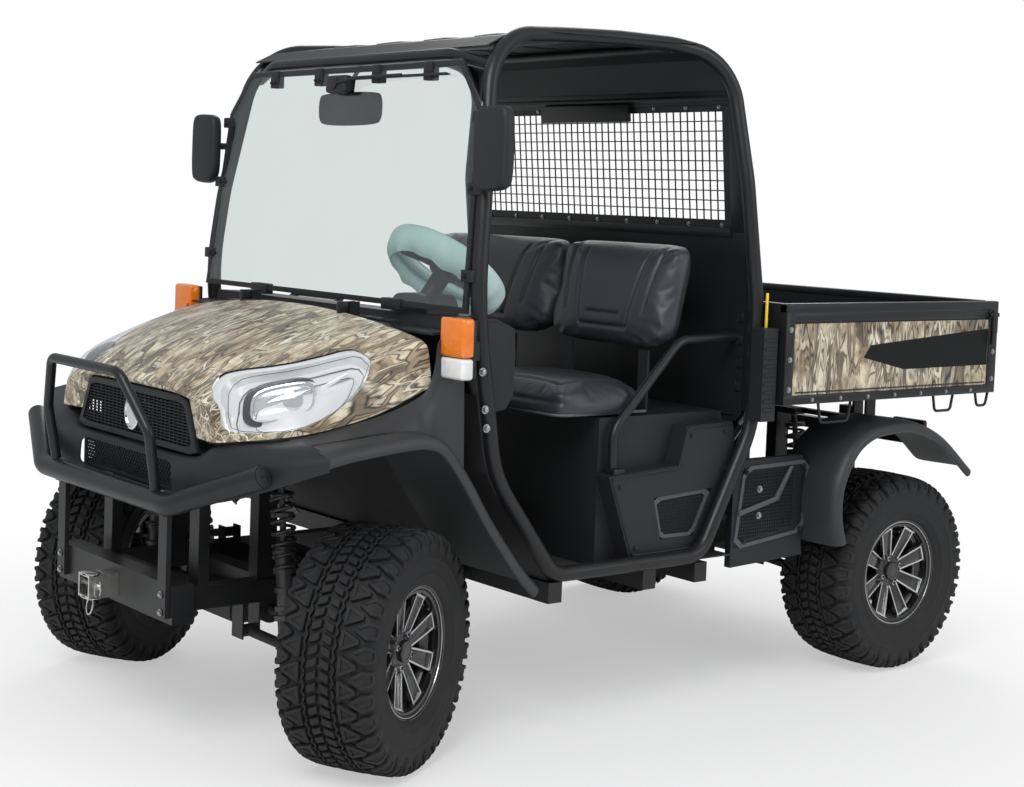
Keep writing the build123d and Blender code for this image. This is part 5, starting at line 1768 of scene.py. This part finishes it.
coverSheet = cleaned(
    sheetOf("steering_wheel_cover", 120, len(wheelCover["profile"]) - 1, coverOver))
modified(coverSheet, "SUBSURF", levels=1)
solid(outward(coverSheet, 1, 0, 0), wheelCover["thickness"])
place(wheelPart(coverSheet), "wheel_grip", "steering_wheel", "steering_wheel", angle=50)
hubParts = [rodOf("boss", (0, 0, -0.033), (0, 0, -0.002), 0.045, 48, 0.006),
            rodOf("cap", (0, 0, -0.004), (0, 0, 0.001), 0.03, 40, 0.002)]
for turn in (-30, 90, 210):
    spoke = slab(
        "spoke", [(0.03, -0.024), (0.085, -0.015), (0.158, -0.018), (0.158, 0.018), (0.085, 0.015),
                  (0.03, 0.024)], -0.016, -0.008, axis="z", bevel=0.002)
    slot = slab("slot",
                rounded([(0.08, -0.006), (0.138, -0.007), (0.138, 0.007), (0.08, 0.006)], 2),
                -0.03, 0.0, axis="z")
    boolean(spoke, slot)
    hubParts.append(turned(spoke, Matrix.Rotation(radians(turn), 4, "Z")))
place(wheelPart(joined("steering_wheel_hub", hubParts)), "black_plastic", "steering_wheel",
      "steering_wheel")

# dash: a moulded fascia with a gauge hood, switches, a pocket and a grab rail
fasciaPanel = slab(
    "dash_fascia",
    shifted([(-0.574, 1.13), (-0.566, 1.13), (-0.562, 1.12), (-0.562, 0.974), (-0.574, 0.966)]),
    -0.634, 0.634, bevel=0.0015)
dashFace = midY - 0.562
pocket = slab("pocket",
              rounded([(-0.56, 1.0), (-0.2, 1.0), (-0.2, 1.098), (-0.56, 1.098)], 2, 0.16),
              dashFace - 0.006, dashFace + 0.01, axis="y")
boolean(fasciaPanel, pocket)
gaugeHood = slab(
    "gauge_hood",
    rounded(
        [(0.235, 1.118), (0.425, 1.118), (0.415, 1.196), (0.385, 1.212), (0.275, 1.212),
         (0.245, 1.196)], 2, 0.2),
    midY - 0.7, midY - 0.588, axis="y", bevel=0.006, segments=3)
boolean(
    gaugeHood,
    slab(
        "dish",
        rounded(
            [(0.25, 1.128), (0.41, 1.128), (0.402, 1.188), (0.378, 1.2), (0.282, 1.2),
             (0.258, 1.188)], 2, 0.2),
        midY - 0.6, midY - 0.57, axis="y"))
gaugeFace = rodOf(
    "dash_dial", (0.33, midY - 0.6015, 1.163), (0.33, midY - 0.594, 1.163), 0.032, 40, 0.003)
dashBits = [fasciaPanel, gaugeHood]
for number in range(4):
    x = 0.01 + number * 0.044
    rocker = block("rocker", (x - 0.015, dashFace - 0.003, 1.046),
                   (x + 0.015, dashFace + 0.006, 1.092), 0.004)
    dashBits.append(rocker)
dashBits.append(
    rodOf("key_boss", (0.47, dashFace - 0.002, 1.065), (0.47, dashFace + 0.007, 1.065), 0.017, 32,
          0.002))
dashBits.append(
    rodOf("knob", (0.54, dashFace - 0.002, 1.05), (0.54, dashFace + 0.018, 1.05), 0.013, 24,
        0.003))
place(joined("dash_details", dashBits), "black_plastic", "chassis")
place(gaugeFace, mirrorGlass, "chassis", slot="zinc")
grab = bentTube(
    "dash_grab_rail",
    cornered(
        [(-0.5, midY - 0.566, 1.14), (-0.5, midY - 0.54, 1.16), (-0.24, midY - 0.54, 1.16),
         (-0.24, midY - 0.566, 1.14)], 0.02),
    0.011, 16)
place(grab, "black_steel", "chassis", angle=None)
ends = []
for side in (1, -1):
    ends.append(
        slab(
            "end",
            shifted(
                [(-0.752, 1.134), (-0.748, 1.158), (-0.628, 1.16), (-0.566, 1.134), (-0.56, 1.06),
                 (-0.563, 0.95), (-0.59, 0.915), (-0.65, 0.906), (-0.69, 0.93), (-0.742, 1.05)]),
            side * 0.6345 - 0.005, side * 0.6345 + 0.005, bevel=0.002))
place(joined("dash_ends", ends), "black_plastic", "chassis")
place(cowlPiece, "black_plastic", "chassis")
print("windscreen, mirrors, wheel and dash done")


# cab side: boxes with mesh windows in thin frames, ribs, a swage and bolts; the grey of frames and
# swage is a painted highlight, and a dark sheet behind each mesh is painted shade
# a satin grey on parts that are black plastic, for the light caught on raised frames and swage
# lines: painted highlight
highlightGrey = finish(
    "paintedHighlightGrey", (0.075, 0.08, 0.088), 0.4, grainScale=600, bump=0.2, dustAmount=0.1)


def punched(name, outline, x, depth, pitch, bar):
    # a sheet of square holes inside the outline, made of crossing bars
    ys, zs = [p[0] for p in outline], [p[1] for p in outline]
    segments = []

    def crossings(value, axis):
        found = []
        for a, b in zip(outline, outline[1:] + outline[:1]):
            if (a[axis] - value) * (b[axis] - value) < 0:
                t = (value - a[axis]) / (b[axis] - a[axis])
                found.append(a[1 - axis] + (b[1 - axis] - a[1 - axis]) * t)
        return sorted(found)

    value = min(ys) + pitch / 2
    while value < max(ys):
        ends = crossings(value, 0)
        segments += [((value, low), (value, high)) for low, high in zip(ends[::2], ends[1::2])]
        value += pitch
    value = min(zs) + pitch / 2
    while value < max(zs):
        ends = crossings(value, 1)
        segments += [((low, value), (high, value)) for low, high in zip(ends[::2], ends[1::2])]
        value += pitch
    mesh = strokes(name, segments, 0, depth, bar)
    # strokes lie in x and z with their depth along y; here they lie in y and z
    return turned(mesh, Matrix.Translation((x + depth, 0, 0)) @ Matrix.Rotation(pi / 2, 4, "Z"))


def framed(name, outline, x, width, depth):
    ring = slab(name, rounded(outline, 1, 0.1), x, x + depth, bevel=0.0015)
    return boolean(
        ring, slab("hole", rounded(inset(outline, width), 1, 0.1), x - 0.02, x + 0.03, axis="x"))


boxWindow = shifted([(-0.032, 0.632), (0.212, 0.646), (0.14, 0.506), (0.002, 0.508)])
rearWindow = shifted([(0.34, 0.7), (0.64, 0.706), (0.622, 0.478), (0.306, 0.446)])
windowMesh = {"pitch": 0.0105, "bar": 0.0034, "thickness": 0.003}
for label, window, x in (("side_box", boxWindow, 0.6405), ("rear_side", rearWindow, 0.65)):
    sheetMesh = punched(
        label + "_mesh", inset(window, 0.004), x + 0.003, windowMesh["thickness"],
        windowMesh["pitch"], windowMesh["bar"])
    # the frame's grey is a painted highlight
    ring = framed(label + "_frame", window, x + 0.002, 0.012, 0.0075)
    # a dark sheet just behind the mesh, for the shade inside seen through its holes: painted shade
    dark = slab(label + "_painted_shade", inset(window, 0.002), x + 0.0002, x + 0.0022)
    bothHands(label + "_mesh", [sheetMesh], "black_plastic", "chassis", angle=None)
    bothHands(label + "_frame", [ring], highlightGrey, "chassis", slot="black_plastic", angle=None)
    bothHands(label + "_painted_shade", [dark], "black_plastic", "chassis", angle=None)

# raised swage lines and bolts on the side box
boxBits = []
boxEdge = shifted([(-0.2, 0.698), (0.066, 0.714), (0.096, 0.828), (0.278, 0.834)])
boxBits.append(bentTube("rib", cornered([(0.6555, y, z) for y, z in boxEdge], 0.02), 0.0045, 8))
lowEdge = shifted([(-0.196, 0.69), (-0.112, 0.47), (0.172, 0.472), (0.284, 0.7)])
boxBits.append(bentTube("rib", cornered([(0.6552, y, z) for y, z in lowEdge], 0.02), 0.0035, 8))
for y, z in ((-0.165, 0.672), (-0.098, 0.49), (0.16, 0.49), (0.262, 0.7), (0.255, 0.812),
             (0.115, 0.806)):
    boxBits += bolt((0.655, y + midY, z), (1, 0, 0), 0.0085, 0.006)
# the swage's grey stands for the light along its raised edge: painted highlight
swage = slab(
    "swage",
    shifted(
        [(0.322, 0.566), (0.48, 0.598), (0.545, 0.69), (0.56, 0.69), (0.496, 0.586),
            (0.322, 0.55)]),
    0.656, 0.665, bevel=0.002)
bothHands("rear_side_swage", [swage], highlightGrey, "chassis", slot="black_plastic")
for y, z in ((0.352, 0.682), (0.61, 0.686), (0.35, 0.47), (0.6, 0.49)):
    boxBits += bolt((0.6605, y + midY, z), (1, 0, 0), 0.008, 0.006)
bothHands("side_details", boxBits, "black_plastic", "chassis")

# hip guards' feet and the strips that close the wall to the hoop
closers = []
for side in (1, -1):
    closers.append(
        block("tab", (side * 0.628 - 0.02, midY - 0.186, 0.7),
              (side * 0.628 + 0.02, midY - 0.142, 0.724), 0.003))
    closers.append(
        block("strip", (side * 0.666 - 0.018, midY + 0.322, 0.872),
              (side * 0.666 + 0.018, midY + 0.333, 1.2), 0.002))
    closers.append(turned(
        block("strip", (side * 0.656 - 0.022, -0.0055, 0.0), (side * 0.656 + 0.022, 0.0055, 0.224),
              0.002),
        Matrix.Translation((0, midY + 0.3275, 1.19)) @ Matrix.Rotation(0.09, 4, "X")))
    for z in (0.93, 1.0, 1.07, 1.14):
        closers.append(block("rib", (side * 0.64 - 0.012, midY + 0.312, z),
                             (side * 0.64 + 0.012, midY + 0.324, z + 0.03), 0.004))
place(joined("cab_closing_strips", closers), "black_steel", "chassis")

# cage fittings: the bolts of its splice plates
cage = []
for side in (1, -1):
    for y, z in ((-0.735, 1.03), (-0.722, 0.93), (-0.715, 0.88)):
        cage += bolt((side * 0.716, y + midY, z), (side, 0, 0), 0.011, 0.009)
    for y, z in ((0.35, 0.56), (0.35, 0.64)):
        cage += bolt((side * 0.7155, y + midY, z), (side, 0, 0), 0.01, 0.008)
place(joined("cage_bolts", cage), "steel", "chassis")

# rear screen: border bars, a box at its head and bolts along head and foot
footPoint, headPoint = Vector((0, 0.301 + midY, 1.418)), Vector((0, 0.262 + midY, 1.796))
rise = (headPoint - footPoint).normalized()
facing = Vector((0, rise.z, -rise.y))
netFrame = frameOf(Vector((1, 0, 0)), rise, Vector((1, 0, 0)).cross(rise), footPoint)
netParts = []
for low, high in (((-0.604, -0.024, -0.012), (0.604, 0.004, 0.014)),
                  ((-0.604, 0.372, -0.01), (0.604, 0.418, 0.004)),
                  ((-0.24, 0.328, 0.004), (0.18, 0.384, 0.022))):
    netParts.append(turned(block("bar", low, high, 0.003), netFrame))
for side in (1, -1):
    netParts.append(turned(slab("bar", [(side * x, along) for x, along in
                                        ((0.6, -0.01), (0.668, -0.01), (0.644, 0.25),
                                         (0.622, 0.384), (0.6, 0.384))],
                                -0.008, 0.004, axis="z", bevel=0.0015), netFrame))
headBox = joined("rear_screen_border", netParts)
place(headBox, "black_steel", "chassis")
netBolts = []
for number in range(9):
    x = -0.56 + number * 0.14
    for along in (0.011, 0.368):
        at = footPoint + rise * along + Vector((x, 0, 0))
        netBolts += bolt(at - facing * 0.0005, -facing, 0.007, 0.005)
        netBolts += bolt(at + facing * 0.0125, facing, 0.007, 0.005)
place(joined("rear_screen_bolts", netBolts), "steel", "chassis")
print("sides, guards and screen done")


# cargo bed: rails, posts, a plain dark wedge on each side, bolts, latches and floor ribs
wedgeFilm = finish(
    "wedgeFilm", (0.005, 0.0055, 0.006), 0.42, grainScale=300, bump=0.05, specular=0.2)
wedge = [(0.738, 1.032), (0.768, 1.07), (0.905, 1.08), (1.366, 1.112), (1.366, 0.992),
         (0.935, 0.99)]
bothHands("bed_wedge", [slab("film", shifted(wedge), 0.7678, 0.7689)], wedgeFilm, "cargo_bed",
          slot="black_plastic")
rails = [
    # top rail with a rolled outer edge, a lower rail and end posts
    block("top", (0.742, midY + 0.372, 1.172), (0.7735, midY + 1.412, 1.203), 0.005, 3),
    block("low", (0.764, midY + 0.372, 0.898), (0.7735, midY + 1.412, 0.925), 0.003),
    block("under", (0.764, midY + 0.374, 1.146), (0.7715, midY + 1.412, 1.176), 0.003),
    block("frontPost", (0.764, midY + 0.373, 0.9), (0.773, midY + 0.411, 1.176), 0.003),
    block("rearPost", (0.764, midY + 1.369, 0.9), (0.773, midY + 1.412, 1.176), 0.003),
]
rails.append(
    bentTube("trim", [Vector((0.769, midY + 0.427, 0.934)), Vector((0.769, midY + 1.357, 0.934))],
             0.0022, 8))
bothHands("bed_rails", rails, "black_steel", "cargo_bed")
place(
    joined(
        "bed_front_rail", [
            block("top", (-0.744, midY + 0.3718, 1.172), (0.744, midY + 0.402, 1.203), 0.005, 3),
            block("brace", (-0.6, midY + 0.37, 1.02), (0.6, midY + 0.3725, 1.05), 0.001, 1)]),
    "black_steel", "cargo_bed")
boltsOfBed = []
for y in (0.392, 1.39):
    for z in (0.945, 1.035, 1.125):
        boltsOfBed += bolt((0.773, midY + y, z), (1, 0, 0), 0.0085, 0.006)
for number in range(7):
    boltsOfBed += bolt((0.7735, midY + 0.5 + number * 0.13, 0.911), (1, 0, 0), 0.0065, 0.005)
bothHands("bed_bolts", boltsOfBed, "steel", "cargo_bed")
floorRibs = []
for number in range(11):
    x = -0.62 + number * 0.124
    floorRibs.append(
        block("rib", (x - 0.022, midY + 0.41, 0.9045), (x + 0.022, midY + 1.37, 0.9105), 0.004))
for side in (1, -1):
    for y in (0.62, 0.88, 1.14):
        floorRibs.append(
            block("stay", (side * 0.7405 - 0.004, midY + y - 0.018, 0.906),
                  (side * 0.7405 + 0.0045, midY + y + 0.018, 1.172), 0.002))
place(joined("bed_floor_ribs", floorRibs), "black_steel", "cargo_bed")
latch = [
    block("keeper", (0.74, midY + 1.386, 1.096), (0.7735, midY + 1.414, 1.15), 0.003),
    block("lever", (0.7735, midY + 1.376, 1.06), (0.783, midY + 1.394, 1.172), 0.004, 3),
    rodOf("pivot", (0.77, midY + 1.385, 1.146), (0.785, midY + 1.385, 1.146), 0.0105, 24, 0.002),
    block("tab", (0.7735, midY + 1.366, 1.15), (0.779, midY + 1.412, 1.164), 0.002)]
bothHands("bed_latches", latch, "black_steel", "cargo_bed")

# tailgate: pressed swages, a top roll and a hem
gate = []
for number in range(5):
    x = -0.56 + number * 0.28
    gate.append(block("swage", (x - 0.085, midY + 1.411, 0.975), (x + 0.085, midY + 1.4148, 1.13),
                      0.006, 3))
gate.append(block("roll", (-0.722, midY + 1.388, 1.176), (0.722, midY + 1.4146, 1.203), 0.005, 3))
gate.append(block("hem", (-0.722, midY + 1.411, 0.936), (0.722, midY + 1.4146, 0.952), 0.002))
place(joined("tailgate_swages", gate), "black_steel", "tailgate")

# intake box behind the cab: louvres, a lid and a yellow stick above it
louvres = []
for number in range(9):
    z = 0.88 + number * 0.026
    louvres.append(
        block("louvre", (0.7515, midY + 0.306, z), (0.756, midY + 0.352, z + 0.01), 0.002, 1))
louvres.append(block("lid", (0.7022, midY + 0.2985, 1.118), (0.7538, midY + 0.3635, 1.129), 0.003))
place(joined("intake_box_louvres", louvres), "black_plastic", "chassis")
stickYellow = finish(
    "stickYellow", (0.86, 0.6, 0.02), 0.35, grainScale=200, bump=0.1, dustAmount=0.05)
stick = rodOf("stick", (0.728, midY + 0.331, 1.127), (0.728, midY + 0.331, 1.232), 0.0045, 16,
              0.001)
place(stick, stickYellow, "chassis", slot="amber_lens", angle=40)
print("bed, gate and intake box done")


# roof: raised ribs along the panel
roofRibs = []
for x in (-0.36, -0.12, 0.12, 0.36):
    line = [(x, midY - 0.52, 1.9335), (x, midY - 0.4, 1.9505), (x, midY - 0.1, 1.9565),
            (x, midY + 0.08, 1.9585)]
    roofRibs.append(bentTube("rib", through(line, 16), 0.0075, 12))
place(joined("roof_ribs", roofRibs), "black_plastic", "chassis", angle=40)


# shock absorbers: wound springs around the rods
def coilSpring(name, foot, head, radius, wire, wound):
    steps = 18
    foot, head = Vector(foot), Vector(head)
    run = head - foot
    across = run.cross(Vector((0, 1, 0))).normalized()
    other = run.cross(across).normalized()
    points = []
    for number in range(wound * steps + 1):
        angle = 2 * pi * number / steps
        points.append(foot + run * number / (wound * steps)
                      + (across * cos(angle) + other * sin(angle)) * radius)
    return bentTube(name, points, wire, 10)


springs = {"foot": 0.386, "head": 0.318, "offset": -0.08, "footZ": 0.345, "headZ": 0.775}
for axleName in ("front", "rear"):
    coils = []
    for side in (1, -1):
        y = axle[axleName] + springs["offset"]
        foot = Vector((side * springs["foot"], y, springs["footZ"]))
        head = Vector((side * springs["head"], y, springs["headZ"]))
        coils.append(
            coilSpring("coil", foot.lerp(head, 0.3), foot.lerp(head, 0.93), 0.03, 0.0052, 9))
    place(joined("coil_springs_" + axleName, coils), "spring", "chassis", angle=60)
print("roof ribs and springs done")
